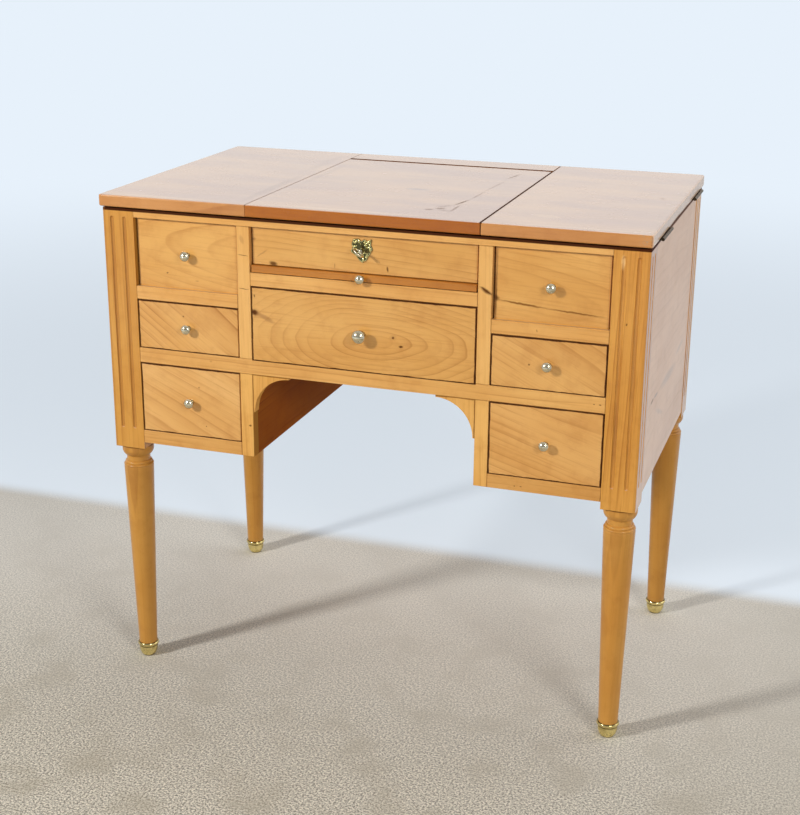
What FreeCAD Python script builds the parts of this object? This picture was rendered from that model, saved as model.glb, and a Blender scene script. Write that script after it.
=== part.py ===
import FreeCAD, Part
import math
import os

os.makedirs("parts", exist_ok=True)

# A dressing table with two drawer banks, a kneehole, a mirrored lid between two folding flaps
# and a writing slide. Millimetres. X to the right, Y to the back, Z up. The table stands on Z = 0,
# and the origin is under the middle of its whole outline.

# Whole table
TABLE_WIDTH = 790.0
TABLE_DEPTH = 474.0
TABLE_HEIGHT = 740.0
SIDE_OVERHANG = 2.5
FRONT_OVERHANG = 7.0
BACK_OVERHANG = 2.0

# Top boards
TOP_THICKNESS = 17.0
TOP_GAP = 2.5
TOP_ARRIS = 2.5
TOP_CORNER_RADIUS = 4.0
LID_BEARING_WIDTH = 2.0
LEFT_JOINT_GAP = 0.6
RIGHT_JOINT_GAP = 1.6
STRIP_DEPTH = 52.0
LID_BACK_GAP = 1.0

# Front frame, heights from the top rail down
TOP_RAIL_HEIGHT = 12.0
FALSE_FRONT_HEIGHT = 99.5
SIDE_RAIL_HEIGHT = 19.0
CENTRE_RAIL_DROP = 1.5
MIDDLE_OPENING_HEIGHT = 73.5
CROSS_RAIL_HEIGHT = 22.0
BOTTOM_OPENING_HEIGHT = 106.0
BOTTOM_RAIL_HEIGHT = 20.0
FIXED_FRONT_HEIGHT = 53.0
SLIDE_OPENING_HEIGHT = 12.0
SLIDE_RAIL_HEIGHT = 19.0
FRAME_DEPTH = 16.0
MUNTIN_WIDTH = 19.0
KNEEHOLE_WIDTH = 331.0
FRAME_ARRIS = 0.6
TENON_LENGTH = 20.0
TENON_THICKNESS = 6.0
TENON_SHOULDER = 2.5
TENON_CLEARANCE = 0.1

# Posts and turned legs
POST_SIZE = 48.0
POST_ARRIS = 1.5
BLOCK_DROP = 10.5
FLUTE_SPACING = 19.5
FLUTE_WIDTH = 6.0
FLUTE_DEPTH = 2.0
FLUTE_TOP_STOP = 11.5
FLUTE_FOOT_STOP = 31.0
COLLAR_RADIUS = 23.6
COLLAR_LIP = 5.0
COLLAR_FOOT_RADIUS = 18.9
COLLAR_BOWL = 12.0
COLLAR_SWELL_SHARE = 0.13
NECK_RADIUS = 17.6
NECK_LENGTH = 9.0
UPPER_BEAD_RADIUS = 19.9
LOWER_BEAD_RADIUS = 21.9
BEAD_HEIGHT = 4.0
BEAD_SWELL_SHARE = 0.3
SHAFT_TOP_RADIUS = 22.3
SHAFT_FOOT_RADIUS = 14.0
FOOT_TENON_RADIUS = 9.0

# Brass sabots
SABOT_HEIGHT = 24.0
SABOT_FLOOR = 6.0
SABOT_FOOT_RADIUS = 9.8
SABOT_BRIM_RADIUS = 14.1
SABOT_LIP_RADIUS = 15.0
SABOT_RIM_HEIGHT = 6.0
SABOT_ARRIS = 0.8
SABOT_SWELL_SHARE = 0.1
SOCKET_CLEARANCE = 0.05

# Panels and boards of the carcass
SIDE_PANEL_THICKNESS = 14.0
SIDE_PANEL_RECESS = 0.8
SIDE_TONGUE_LENGTH = 6.0
SIDE_TONGUE_THICKNESS = 5.0
BACK_PANEL_THICKNESS = 10.0
BACK_PANEL_INSET = 3.0
FIXED_FRONT_RECESS = 6.0
FIXED_FRONT_THICKNESS = 12.0
FIXED_FRONT_REBATE_WIDTH = 3.0
FIXED_FRONT_REBATE_DEPTH = 5.0
WELL_FLOOR_THICKNESS = 8.0
WELL_FLOOR_RISE = 1.5
BEARER_THICKNESS = 9.0
GUIDE_HEIGHT = 16.0
SPANDREL_RADIUS = 54.0
SPANDREL_TIP = 2.8
SPANDREL_THICKNESS = 14.0

# Drawers and writing slide
DRAWER_SIDE_GAP = 1.2
DRAWER_TOP_GAP = 1.2
DRAWER_RUN_GAP = 0.3
DRAWER_FRONT_SET = 0.5
DRAWER_FRONT_THICKNESS = 18.0
DRAWER_LAP = 12.0
DRAWER_GROOVE = 4.0
DRAWER_FRONT_ARRIS = 1.2
DRAWER_SIDE_THICKNESS = 9.0
DRAWER_BACK_THICKNESS = 8.0
DRAWER_BOTTOM_THICKNESS = 6.0
DRAWER_BOTTOM_RISE = 4.0
DRAWER_SIDE_INSET = 1.0
DRAWER_TOP_DROP = 8.0
SIDE_DRAWER_BACK_SPACE = 76.5
CENTRE_DRAWER_BACK_SPACE = 56.5
SLIDE_THICKNESS = 10.5
SLIDE_SIDE_GAP = 2.2
SLIDE_BACK_SPACE = 121.5
SLIDE_ARRIS = 1.0

# Knobs
SMALL_KNOB_RADIUS = 7.3
LARGE_KNOB_RADIUS = 9.8
SLIDE_KNOB_RADIUS = 6.6
KNOB_REACH_SHARE = 1.95
KNOB_NECK_SHARE = 0.42
KNOB_ROSE_SHARE = 0.66
KNOB_HEAD_SHARE = 1.0
KNOB_CROWN_SHARE = 0.55
KNOB_SWELL_SHARE = 0.18
KNOB_ROSE_THICKNESS = 1.0
KNOB_SHANK_RADIUS = 1.8
KNOB_SHANK_LENGTH = 7.0
SHANK_CLEARANCE = 0.05

# Flap hinges
HINGE_LENGTH = 76.0
HINGE_FRONT_INSET = 65.0
HINGE_BACK_INSET = 37.0
HINGE_OUTSET = 2.2
HINGE_BARREL_RADIUS = 2.2
HINGE_PIN_RADIUS = 1.1
HINGE_PIN_CLEARANCE = 0.05
HINGE_KNUCKLES = 5
HINGE_KNUCKLE_GAP = 0.3
HINGE_LEAF_THICKNESS = 1.2
HINGE_LEAF_WIDTH = 17.0
HINGE_SCREW_SET = 5.0
HINGE_SCREW_MARGIN = 4.5
HINGE_SCREWS = 3
SCREW_RADIUS = 1.3
SCREW_LENGTH = 9.0
SCREW_HEAD_RADIUS = 2.4
SCREW_HEAD_HEIGHT = 1.1
SCREW_CLEARANCE = 0.05

# Lid pivots
PIVOT_PLATE_THICKNESS = 2.5
PIVOT_PLATE_WIDTH = 9.0
PIVOT_PLATE_DROP = 34.0
PIVOT_PIN_RADIUS = 2.0
PIVOT_PIN_REACH = 9.0
PIVOT_CLEARANCE = 1.0
PIVOT_PIN_CLEARANCE = 0.05
PIVOT_SCREW_DROP = 15.0
PIVOT_SCREW_PITCH = 12.0

# Mirror under the lid
MIRROR_SIDE_MARGIN = 27.0
MIRROR_FRONT_MARGIN = 52.0
MIRROR_BACK_MARGIN = 40.0
MIRROR_THICKNESS = 4.0
BEAD_WIDTH = 12.0
BEAD_THICKNESS = 7.0

# Lock, escutcheon and key
LOCK_RISE = 5.0
LOCK_WIDTH = 44.0
LOCK_TOP_DROP = 2.5
LOCK_FOOT_DROP = 12.0
LOCK_DEPTH = 12.0
LOCK_WALL = 1.5
LOCK_BOLT_WIDTH = 16.0
LOCK_BOLT_THICKNESS = 3.0
LOCK_BOLT_TRAVEL = 8.0
LOCK_BOLT_RUN_GAP = 0.3
LOCK_BOLT_REST_GAP = 1.0
LOCK_BOLT_LENGTH = 26.0
LOCK_MORTISE_CLEARANCE = 0.6
ESCUTCHEON_WIDTH = 36.0
ESCUTCHEON_HEIGHT = 38.0
ESCUTCHEON_THICKNESS = 1.6
ESCUTCHEON_LOBES = 8
ESCUTCHEON_STEPS = 6
ESCUTCHEON_LOBE_SHARE = 0.12
KEY_STEM_RADIUS = 1.7
KEY_STEM_CLEARANCE = 0.08
KEY_BOW_WIDTH = 15.0
KEY_BOW_LENGTH = 13.0
KEY_BOW_WIRE_RADIUS = 1.3
KEY_STEM_REACH = 9.0
KEY_TIP_GAP = 1.0
KEY_COLLAR_RADIUS = 2.7
KEY_COLLAR_LENGTH = 2.0
KEY_BIT_DROP = 6.0
KEY_REST_TURN = 51.0
KEY_BIT_WIDTH = 3.0
KEY_BIT_THICKNESS = 1.5
KEYHOLE_SLOT_CLEARANCE = 0.4

# Cuts run past the solid by this much, and places closer than the match are the same
OVERRUN = 1.0
MATCH = 0.01

SIDES = {"left": -1.0, "right": 1.0}
X_AXIS = FreeCAD.Vector(1.0, 0.0, 0.0)
Y_AXIS = FreeCAD.Vector(0.0, 1.0, 0.0)
Z_AXIS = FreeCAD.Vector(0.0, 0.0, 1.0)
FULL_TURN = 360.0
QUARTER_TURN = 90.0

# Levels on Z
top_underside = TABLE_HEIGHT - TOP_THICKNESS
carcass_top = top_underside - TOP_GAP
top_rail_bottom = carcass_top - TOP_RAIL_HEIGHT
side_rail_top = top_rail_bottom - FALSE_FRONT_HEIGHT
middle_opening_top = side_rail_top - SIDE_RAIL_HEIGHT
cross_rail_top = middle_opening_top - MIDDLE_OPENING_HEIGHT
cross_rail_bottom = cross_rail_top - CROSS_RAIL_HEIGHT
bottom_rail_top = cross_rail_bottom - BOTTOM_OPENING_HEIGHT
bottom_rail_bottom = bottom_rail_top - BOTTOM_RAIL_HEIGHT
block_bottom = bottom_rail_bottom - BLOCK_DROP
slide_opening_top = top_rail_bottom - FIXED_FRONT_HEIGHT
slide_rail_top = slide_opening_top - SLIDE_OPENING_HEIGHT
slide_rail_bottom = slide_rail_top - SLIDE_RAIL_HEIGHT
lock_level = slide_opening_top + FIXED_FRONT_HEIGHT / 2.0 + LOCK_RISE

# Places on Y, with the middle of the whole outline, key included, on zero
key_reach = KEY_STEM_REACH + KEY_BOW_LENGTH + KEY_BOW_WIRE_RADIUS
large_knob_reach = LARGE_KNOB_RADIUS * KNOB_REACH_SHARE
front_reach = max(key_reach - FIXED_FRONT_RECESS, large_knob_reach - DRAWER_FRONT_SET) - FRONT_OVERHANG
top_front = (front_reach - TABLE_DEPTH) / 2.0
top_back = top_front + TABLE_DEPTH
front = top_front + FRONT_OVERHANG
back = top_back - BACK_OVERHANG
frame_back = front + FRAME_DEPTH
fixed_face = front + FIXED_FRONT_RECESS
fixed_back = fixed_face + FIXED_FRONT_THICKNESS
back_panel_back = back - BACK_PANEL_INSET
back_panel_front = back_panel_back - BACK_PANEL_THICKNESS
strip_front = top_back - STRIP_DEPTH
lid_back = strip_front - LID_BACK_GAP

# Places on X for the right half
top_half = TABLE_WIDTH / 2.0
case_half = top_half - SIDE_OVERHANG
post_inner = case_half - POST_SIZE
post_middle = case_half - POST_SIZE / 2.0
panel_outer = case_half - SIDE_PANEL_RECESS
panel_inner = panel_outer - SIDE_PANEL_THICKNESS
knee_half = KNEEHOLE_WIDTH / 2.0
muntin_outer = knee_half + MUNTIN_WIDTH
bank_middle = (muntin_outer + post_inner) / 2.0
lid_half = knee_half + LID_BEARING_WIDTH
joint_gaps = {"left": LEFT_JOINT_GAP, "right": RIGHT_JOINT_GAP}


def export(name, shape):
    """Write one piece, or one group of like pieces, as its own node."""
    shape.exportStep("parts/" + name + ".step")
    print(name, "solids", len(shape.Solids), "valid", shape.isValid())


def block(x0, x1, y0, y1, z0, z1):
    """A box between two opposite corners."""
    return Part.makeBox(x1 - x0, y1 - y0, z1 - z0, FreeCAD.Vector(x0, y0, z0))


def to_side(shape, side):
    """The shape as modelled for the right half, or mirrored for the left half."""
    if SIDES[side] > 0.0:
        return shape
    return shape.mirror(FreeCAD.Vector(), X_AXIS)


def on_both_sides(shape):
    """The shape and its mirror image as one group."""
    return Part.makeCompound([to_side(shape, side) for side in SIDES])


def is_at(value, place):
    """True where a measured place is the one looked for."""
    return abs(value - place) < MATCH


def rounded(shape, radius, wanted):
    """Round the edges whose bounding boxes the test picks."""
    edges = [edge for edge in shape.Edges if wanted(edge.BoundBox)]
    return shape.makeFillet(radius, edges)


def rounded_front(shape, radius, plane):
    """Round the edges that lie in a plane facing the front."""
    return rounded(shape, radius, lambda box: is_at(box.YMin, plane) and is_at(box.YMax, plane))


def turned(outline, place):
    """Turn an outline of (radius, height[, swell share]) round the Z axis and put its foot at a place.

    A swell share is the rise of an arc over its chord, outward when positive and hollow when negative.
    """
    points = [FreeCAD.Vector(step[0], 0.0, step[1]) for step in outline]
    edges = []
    for start, end, step in zip(points, points[1:], outline[1:]):
        if len(step) > 2:
            across = FreeCAD.Vector(end.z - start.z, 0.0, start.x - end.x)
            crown = (start + end) / 2.0 + across * step[2]
            edges.append(Part.Arc(start, crown, end).toShape())
        else:
            edges.append(Part.makeLine(start, end))
    edges.append(Part.makeLine(points[-1], points[0]))
    solid = Part.Face(Part.Wire(edges)).revolve(FreeCAD.Vector(), Z_AXIS, FULL_TURN)
    solid.translate(place)
    return solid


def cap_share(radius, rise):
    """The swell share of a dome that meets the axis squarely."""
    return math.tan(math.atan2(rise, radius) / 2.0) / 2.0


# Joinery shared by the posts and what meets them

def tenoned_rail(z0, z1):
    """A rail from post to post across the whole front, with a tenon at each end."""
    rail = rounded_front(block(-post_inner, post_inner, front, frame_back, z0, z1), FRAME_ARRIS, front)
    return rail.fuse([to_side(rail_tenon(z0, z1), side) for side in SIDES])


def rail_tenon(z0, z1, grow=0.0):
    """The right-hand tenon of a front rail, or its mortise when grown."""
    middle = (front + frame_back) / 2.0
    half = TENON_THICKNESS / 2.0 + grow
    inner = post_inner - (OVERRUN if grow else 0.0)
    low = z0 + TENON_SHOULDER - grow
    high = z1 - TENON_SHOULDER + grow
    return block(inner, post_inner + TENON_LENGTH + grow, middle - half, middle + half, low, high)


def panel_tongue(y_start, y_end, grow=0.0):
    """The tongue of the right side panel in one post, or its groove when grown."""
    middle = (panel_inner + panel_outer) / 2.0
    half = SIDE_TONGUE_THICKNESS / 2.0 + grow
    top = carcass_top - TENON_SHOULDER + grow
    foot = bottom_rail_bottom + TENON_SHOULDER - grow
    return block(middle - half, middle + half, y_start, y_end, foot, top)


# Posts, legs and sabots

def leg_outline():
    """Radius and height of the turned leg, from its tenon in the sabot up into the block."""
    collar_lip = block_bottom - COLLAR_LIP
    collar_low = collar_lip - COLLAR_BOWL
    neck_low = collar_low - NECK_LENGTH
    upper_bead_low = neck_low - BEAD_HEIGHT
    lower_bead_low = upper_bead_low - BEAD_HEIGHT
    return [
        (0.0, SABOT_FLOOR + SOCKET_CLEARANCE),
        (FOOT_TENON_RADIUS, SABOT_FLOOR + SOCKET_CLEARANCE),
        (FOOT_TENON_RADIUS, SABOT_HEIGHT),
        (SHAFT_FOOT_RADIUS, SABOT_HEIGHT),
        (SHAFT_TOP_RADIUS, lower_bead_low - BEAD_HEIGHT / 2.0),
        (LOWER_BEAD_RADIUS, lower_bead_low),
        (UPPER_BEAD_RADIUS, upper_bead_low, BEAD_SWELL_SHARE),
        (NECK_RADIUS, neck_low, BEAD_SWELL_SHARE),
        (NECK_RADIUS, collar_low),
        (COLLAR_FOOT_RADIUS, collar_low),
        (COLLAR_RADIUS, collar_lip, COLLAR_SWELL_SHARE),
        (COLLAR_RADIUS, block_bottom + COLLAR_LIP),
        (0.0, block_bottom + COLLAR_LIP),
    ]


def flute():
    """A stopped flute cutter standing on the Z axis, its axis a little outside the face at Y = 0."""
    radius = ((FLUTE_WIDTH / 2.0) ** 2 + FLUTE_DEPTH ** 2) / (2.0 * FLUTE_DEPTH)
    axis_y = FLUTE_DEPTH - radius
    low = block_bottom + FLUTE_FOOT_STOP + radius
    high = carcass_top - FLUTE_TOP_STOP - radius
    foot = FreeCAD.Vector(0.0, axis_y, low)
    head = FreeCAD.Vector(0.0, axis_y, high)
    stem = Part.makeCylinder(radius, high - low, foot)
    return stem.fuse([Part.makeSphere(radius, foot), Part.makeSphere(radius, head)])


def face_flutes(turn, middle):
    """The two flutes of one face of a post, turned to that face."""
    cutters = []
    for step in (-1.0, 1.0):
        cutter = flute()
        cutter.translate(FreeCAD.Vector(step * FLUTE_SPACING / 2.0, -POST_SIZE / 2.0, 0.0))
        cutter.rotate(FreeCAD.Vector(), Z_AXIS, turn)
        cutter.translate(middle)
        cutters.append(cutter)
    return cutters


def post(is_front):
    """A right-hand corner post with its turned leg, flutes, mortises and groove."""
    y_middle = front + POST_SIZE / 2.0 if is_front else back - POST_SIZE / 2.0
    middle = FreeCAD.Vector(post_middle, y_middle, 0.0)
    y0 = y_middle - POST_SIZE / 2.0
    y1 = y_middle + POST_SIZE / 2.0
    outer_y = y0 if is_front else y1
    body = block(post_inner, case_half, y0, y1, block_bottom, carcass_top)
    body = rounded(body, POST_ARRIS, lambda box: is_at(box.XMin, case_half) and is_at(box.YMin, outer_y)
                   and is_at(box.YMax, outer_y) and box.ZLength > POST_SIZE)
    body = body.fuse(turned(leg_outline(), middle))
    cutters = face_flutes(QUARTER_TURN, middle)
    if is_front:
        cutters += face_flutes(0.0, middle)
        for z0, z1 in front_rail_levels():
            cutters.append(rail_tenon(z0, z1, TENON_CLEARANCE))
        groove_end = y1 - SIDE_TONGUE_LENGTH - TENON_CLEARANCE
        cutters.append(panel_tongue(groove_end, y1 + OVERRUN, TENON_CLEARANCE))
    else:
        groove_end = y0 + SIDE_TONGUE_LENGTH + TENON_CLEARANCE
        cutters.append(panel_tongue(y0 - OVERRUN, groove_end, TENON_CLEARANCE))
        cutters += [screw_hole(point, -1.0) for point in hinge_screw_points(carcass_top)]
    return body.cut(cutters)


def front_rail_levels():
    """Foot and head of every rail that is tenoned into the front posts."""
    return [
        (top_rail_bottom, carcass_top),
        (middle_opening_top, side_rail_top),
        (cross_rail_bottom, cross_rail_top),
        (bottom_rail_bottom, bottom_rail_top),
    ]


def sabot(middle):
    """A brass cup on the foot of a leg, with its rim and its socket."""
    socket = FOOT_TENON_RADIUS + SOCKET_CLEARANCE
    outline = [
        (0.0, 0.0),
        (SABOT_FOOT_RADIUS - SABOT_ARRIS, 0.0),
        (SABOT_FOOT_RADIUS, SABOT_ARRIS),
        (SABOT_BRIM_RADIUS, SABOT_HEIGHT - SABOT_RIM_HEIGHT, SABOT_SWELL_SHARE),
        (SABOT_LIP_RADIUS, SABOT_HEIGHT, BEAD_SWELL_SHARE),
        (socket, SABOT_HEIGHT),
        (socket, SABOT_FLOOR),
        (0.0, SABOT_FLOOR),
    ]
    return turned(outline, middle)


def leg_middles():
    """The four leg axes at floor level."""
    places = []
    for sign in SIDES.values():
        for y in (front + POST_SIZE / 2.0, back - POST_SIZE / 2.0):
            places.append(FreeCAD.Vector(sign * post_middle, y, 0.0))
    return places


# Carcass boards

def side_panel():
    """The right side panel with its two tongues, its hinge screw holes drilled."""
    y0 = front + POST_SIZE
    y1 = back - POST_SIZE
    panel = block(panel_inner, panel_outer, y0, y1, bottom_rail_bottom, carcass_top)
    tongues = [panel_tongue(y0 - SIDE_TONGUE_LENGTH, y0), panel_tongue(y1, y1 + SIDE_TONGUE_LENGTH)]
    holes = [screw_hole(point, -1.0) for point in hinge_screw_points(carcass_top)]
    return panel.fuse(tongues).cut(holes)


def notched_board(z0, z1):
    """A right-bank board that fills the case from partition to side panel, notched round both posts."""
    board = block(muntin_outer, panel_inner, frame_back, back_panel_front, z0, z1)
    low = z0 - OVERRUN
    high = z1 + OVERRUN
    x1 = panel_inner + OVERRUN
    notches = [
        block(post_inner, x1, frame_back - OVERRUN, front + POST_SIZE, low, high),
        block(post_inner, x1, back - POST_SIZE, back + OVERRUN, low, high),
    ]
    return board.cut(notches)


def well_floor():
    """The floor of the right-hand well, behind the false front."""
    floor_bottom = middle_opening_top + WELL_FLOOR_RISE
    return notched_board(floor_bottom, floor_bottom + WELL_FLOOR_THICKNESS)


def side_bearers():
    """The two boards that carry the drawers of the right bank."""
    return [notched_board(level - BEARER_THICKNESS, level) for level in (cross_rail_top, bottom_rail_top)]


def side_guides():
    """The two strips that keep the drawers of the right bank off the side panel."""
    y0 = front + POST_SIZE
    y1 = back - POST_SIZE
    return [block(post_inner, panel_inner, y0, y1, level, level + GUIDE_HEIGHT)
            for level in (cross_rail_top, bottom_rail_top)]


def centre_board(y0, z0, z1):
    """A board between the two partitions, from a place behind the front to the back panel."""
    return block(-knee_half, knee_half, y0, back_panel_front, z0, z1)


def partition():
    """The right partition between bank and kneehole, standing up to the underside of the top boards."""
    board = block(knee_half, muntin_outer, frame_back, back_panel_front, bottom_rail_bottom, top_underside)
    holes = [pivot_screw_hole(level) for level in pivot_screw_levels()]
    return board.cut(holes)


def back_panels():
    """Two side backs and the shorter back over the kneehole."""
    joint = (knee_half + muntin_outer) / 2.0
    side = block(joint, post_inner, back_panel_front, back_panel_back, bottom_rail_bottom, carcass_top)
    centre = block(-joint, joint, back_panel_front, back_panel_back, cross_rail_bottom, carcass_top)
    return to_side(side, "left"), centre, side


def side_rail(z0, z1):
    """A short rail of the right bank, from muntin to post, tenoned into the post."""
    rail = rounded_front(block(muntin_outer, post_inner, front, frame_back, z0, z1), FRAME_ARRIS, front)
    return rail.fuse(rail_tenon(z0, z1))


def muntin(z0, z1):
    """An upright of the front frame between kneehole and right bank."""
    return rounded_front(block(knee_half, muntin_outer, front, frame_back, z0, z1), FRAME_ARRIS, front)


def spandrel():
    """The curved bracket in the right upper corner of the kneehole."""
    inner = knee_half - SPANDREL_TIP - SPANDREL_RADIUS
    low = cross_rail_bottom - SPANDREL_TIP - SPANDREL_RADIUS
    plate = block(inner, knee_half, front, front + SPANDREL_THICKNESS, low, cross_rail_bottom)
    axis_foot = FreeCAD.Vector(inner, front - OVERRUN, low)
    hollow = Part.makeCylinder(SPANDREL_RADIUS, SPANDREL_THICKNESS + 2.0 * OVERRUN, axis_foot, Y_AXIS)
    return plate.cut(hollow)


def rebated_board(x0, x1, foot):
    """A fixed front board that fills its opening, with a rebate down each end of its face."""
    board = block(x0, x1, fixed_face, fixed_back, foot, top_rail_bottom)
    rebate_back = fixed_face + FIXED_FRONT_REBATE_DEPTH
    rebates = [
        block(x0 - OVERRUN, x0 + FIXED_FRONT_REBATE_WIDTH, fixed_face - OVERRUN, rebate_back,
              foot - OVERRUN, top_rail_bottom + OVERRUN),
        block(x1 - FIXED_FRONT_REBATE_WIDTH, x1 + OVERRUN, fixed_face - OVERRUN, rebate_back,
              foot - OVERRUN, top_rail_bottom + OVERRUN),
    ]
    return board.cut(rebates)


def false_front():
    """The fixed board of the right bank that looks like a drawer, drilled for its knob."""
    board = rebated_board(muntin_outer, post_inner, side_rail_top)
    return board.cut(shank_hole(bank_middle, fixed_face, (side_rail_top + top_rail_bottom) / 2.0))


def centre_fixed_front():
    """The fixed board over the writing slide, with its keyhole."""
    board = rebated_board(-knee_half, knee_half, slide_opening_top)
    return board.cut(keyhole(fixed_face - OVERRUN, fixed_back + OVERRUN))


# Knobs

def knob(x, face, z, radius):
    """A turned knob on a board whose face is at Y = face: shank, rose, neck and domed head."""
    reach = radius * KNOB_REACH_SHARE
    neck = radius * KNOB_NECK_SHARE
    rose = radius * KNOB_ROSE_SHARE
    head_low = reach - radius * KNOB_HEAD_SHARE
    rim = reach - radius * KNOB_CROWN_SHARE
    outline = [
        (0.0, -KNOB_SHANK_LENGTH),
        (KNOB_SHANK_RADIUS, -KNOB_SHANK_LENGTH),
        (KNOB_SHANK_RADIUS, 0.0),
        (rose, 0.0),
        (rose, KNOB_ROSE_THICKNESS),
        (neck, KNOB_ROSE_THICKNESS),
        (neck, head_low),
        (radius, rim, KNOB_SWELL_SHARE),
        (0.0, reach, cap_share(radius, reach - rim)),
    ]
    shape = turned(outline, FreeCAD.Vector())
    shape.rotate(FreeCAD.Vector(), X_AXIS, QUARTER_TURN)
    shape.translate(FreeCAD.Vector(x, face, z))
    return shape


def shank_hole(x, face, z):
    """The drilled hole for a knob's shank."""
    start = FreeCAD.Vector(x, face - OVERRUN, z)
    radius = KNOB_SHANK_RADIUS + SHANK_CLEARANCE
    return Part.makeCylinder(radius, KNOB_SHANK_LENGTH + SHANK_CLEARANCE + OVERRUN, start, Y_AXIS)


def slide_rail():
    """The rail under the writing slide, between the muntins."""
    return rounded_front(block(-knee_half, knee_half, front, frame_back, slide_rail_bottom, slide_rail_top),
                         FRAME_ARRIS, front)


def cross_rail():
    """The long rail over the kneehole, a little lower under the centre drawer."""
    rail = tenoned_rail(cross_rail_bottom, cross_rail_top)
    step = block(-knee_half, knee_half, front - OVERRUN, frame_back + OVERRUN,
                 cross_rail_top - CENTRE_RAIL_DROP, cross_rail_top + OVERRUN)
    return rail.cut(step)


# Top boards

def top_board(x0, x1, y0, y1, outer_x):
    """A board of the top with its outer edges rounded; outer_x lists the ends that lie on the outside."""
    board = block(x0, x1, y0, y1, top_underside, TABLE_HEIGHT)
    outer_y = [y for y in (y0, y1) if is_at(y, top_front) or is_at(y, top_back)]
    corners = [(x, y) for x in outer_x for y in outer_y]

    def is_corner(box):
        return any(is_at(box.XMin, x) and is_at(box.XMax, x) and is_at(box.YMin, y) and is_at(box.YMax, y)
                   for x, y in corners)

    if corners:
        board = rounded(board, TOP_CORNER_RADIUS, is_corner)
    inside_x = [x for x in (x0, x1) if x not in outer_x]
    inside_y = [y for y in (y0, y1) if y not in outer_y]

    def is_rim(box):
        flat = is_at(box.ZMin, box.ZMax)
        inner_x = any(is_at(box.XMin, x) and is_at(box.XMax, x) for x in inside_x)
        inner_y = any(is_at(box.YMin, y) and is_at(box.YMax, y) for y in inside_y)
        return flat and not inner_x and not inner_y

    return rounded(board, TOP_ARRIS, is_rim)


def flap_board(side):
    """A folding flap of the top, drilled for the screws of its hinges."""
    inner = lid_half + joint_gaps[side]
    board = top_board(inner, top_half, top_front, top_back, [top_half])
    holes = [screw_hole(point, 1.0) for point in hinge_screw_points(top_underside)]
    return to_side(board.cut(holes), side)


def back_strip():
    """The fixed strip of the top behind the lid."""
    return top_board(-lid_half, lid_half, strip_front, top_back, [])


def lid_board():
    """The lid with its rounded back edge, pivot pockets, pin bores and bolt mortise."""
    nose = TOP_THICKNESS / 2.0
    board = top_board(-lid_half, lid_half, top_front, lid_back - nose, [])
    nose_foot = FreeCAD.Vector(-lid_half, pivot_y, pivot_z)
    board = board.fuse(Part.makeCylinder(nose, 2.0 * lid_half, nose_foot, X_AXIS))
    reach = PIVOT_PLATE_WIDTH / 2.0 + PIVOT_CLEARANCE
    pocket_inner = knee_half - PIVOT_PLATE_THICKNESS - PIVOT_CLEARANCE
    pocket = block(pocket_inner, lid_half + OVERRUN, pivot_y - reach, lid_back + OVERRUN,
                   top_underside - OVERRUN, pivot_z + reach)
    bore_length = PIVOT_PIN_REACH + OVERRUN
    bore_foot = FreeCAD.Vector(pivot_pin_end() - PIVOT_CLEARANCE, pivot_y, pivot_z)
    bore = Part.makeCylinder(PIVOT_PIN_RADIUS + PIVOT_PIN_CLEARANCE, bore_length, bore_foot, X_AXIS)
    cutters = [to_side(cutter, side) for cutter in (pocket, bore) for side in SIDES]
    cutters.append(bolt_mortise())
    return board.cut(cutters)


def bolt_mortise():
    """The hole in the underside of the lid that the raised bolt enters."""
    half_x = LOCK_BOLT_WIDTH / 2.0 + LOCK_MORTISE_CLEARANCE
    half_y = LOCK_BOLT_THICKNESS / 2.0 + LOCK_MORTISE_CLEARANCE
    depth = LOCK_BOLT_TRAVEL - LOCK_BOLT_REST_GAP + LOCK_MORTISE_CLEARANCE
    low = top_underside - OVERRUN
    return block(-half_x, half_x, bolt_y - half_y, bolt_y + half_y, low, top_underside + depth)


# Screws and hinges

def screw(point, direction, grow=0.0):
    """A countersunk screw whose head lies at a point and whose shank runs up (1) or down (-1)."""
    outline = [
        (0.0, -grow),
        (SCREW_HEAD_RADIUS + grow, -grow),
        (SCREW_RADIUS + grow, SCREW_HEAD_HEIGHT),
        (SCREW_RADIUS + grow, SCREW_LENGTH + grow),
        (0.0, SCREW_LENGTH + grow),
    ]
    shape = turned(outline, FreeCAD.Vector())
    if direction < 0.0:
        shape.rotate(FreeCAD.Vector(), X_AXIS, 2.0 * QUARTER_TURN)
    shape.translate(point)
    return shape


def screw_hole(point, direction):
    """The hole a hinge screw needs in the wood it is driven into, under a leaf on that wood."""
    head = point - Z_AXIS * (direction * HINGE_LEAF_THICKNESS)
    return screw(head, direction, SCREW_CLEARANCE)


def hinge_spans():
    """Front and back end of both hinges of a flap."""
    first = top_front + HINGE_FRONT_INSET
    last = top_back - HINGE_BACK_INSET
    return [(first, first + HINGE_LENGTH), (last - HINGE_LENGTH, last)]


def hinge_screw_points(level):
    """Where the screws of the two right-hand hinges go through a level."""
    points = []
    x = hinge_x - HINGE_LEAF_WIDTH + HINGE_SCREW_SET
    for y0, y1 in hinge_spans():
        first = y0 + HINGE_SCREW_MARGIN
        pitch = (y1 - HINGE_SCREW_MARGIN - first) / (HINGE_SCREWS - 1)
        points += [FreeCAD.Vector(x, first + pitch * step, level) for step in range(HINGE_SCREWS)]
    return points


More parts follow.
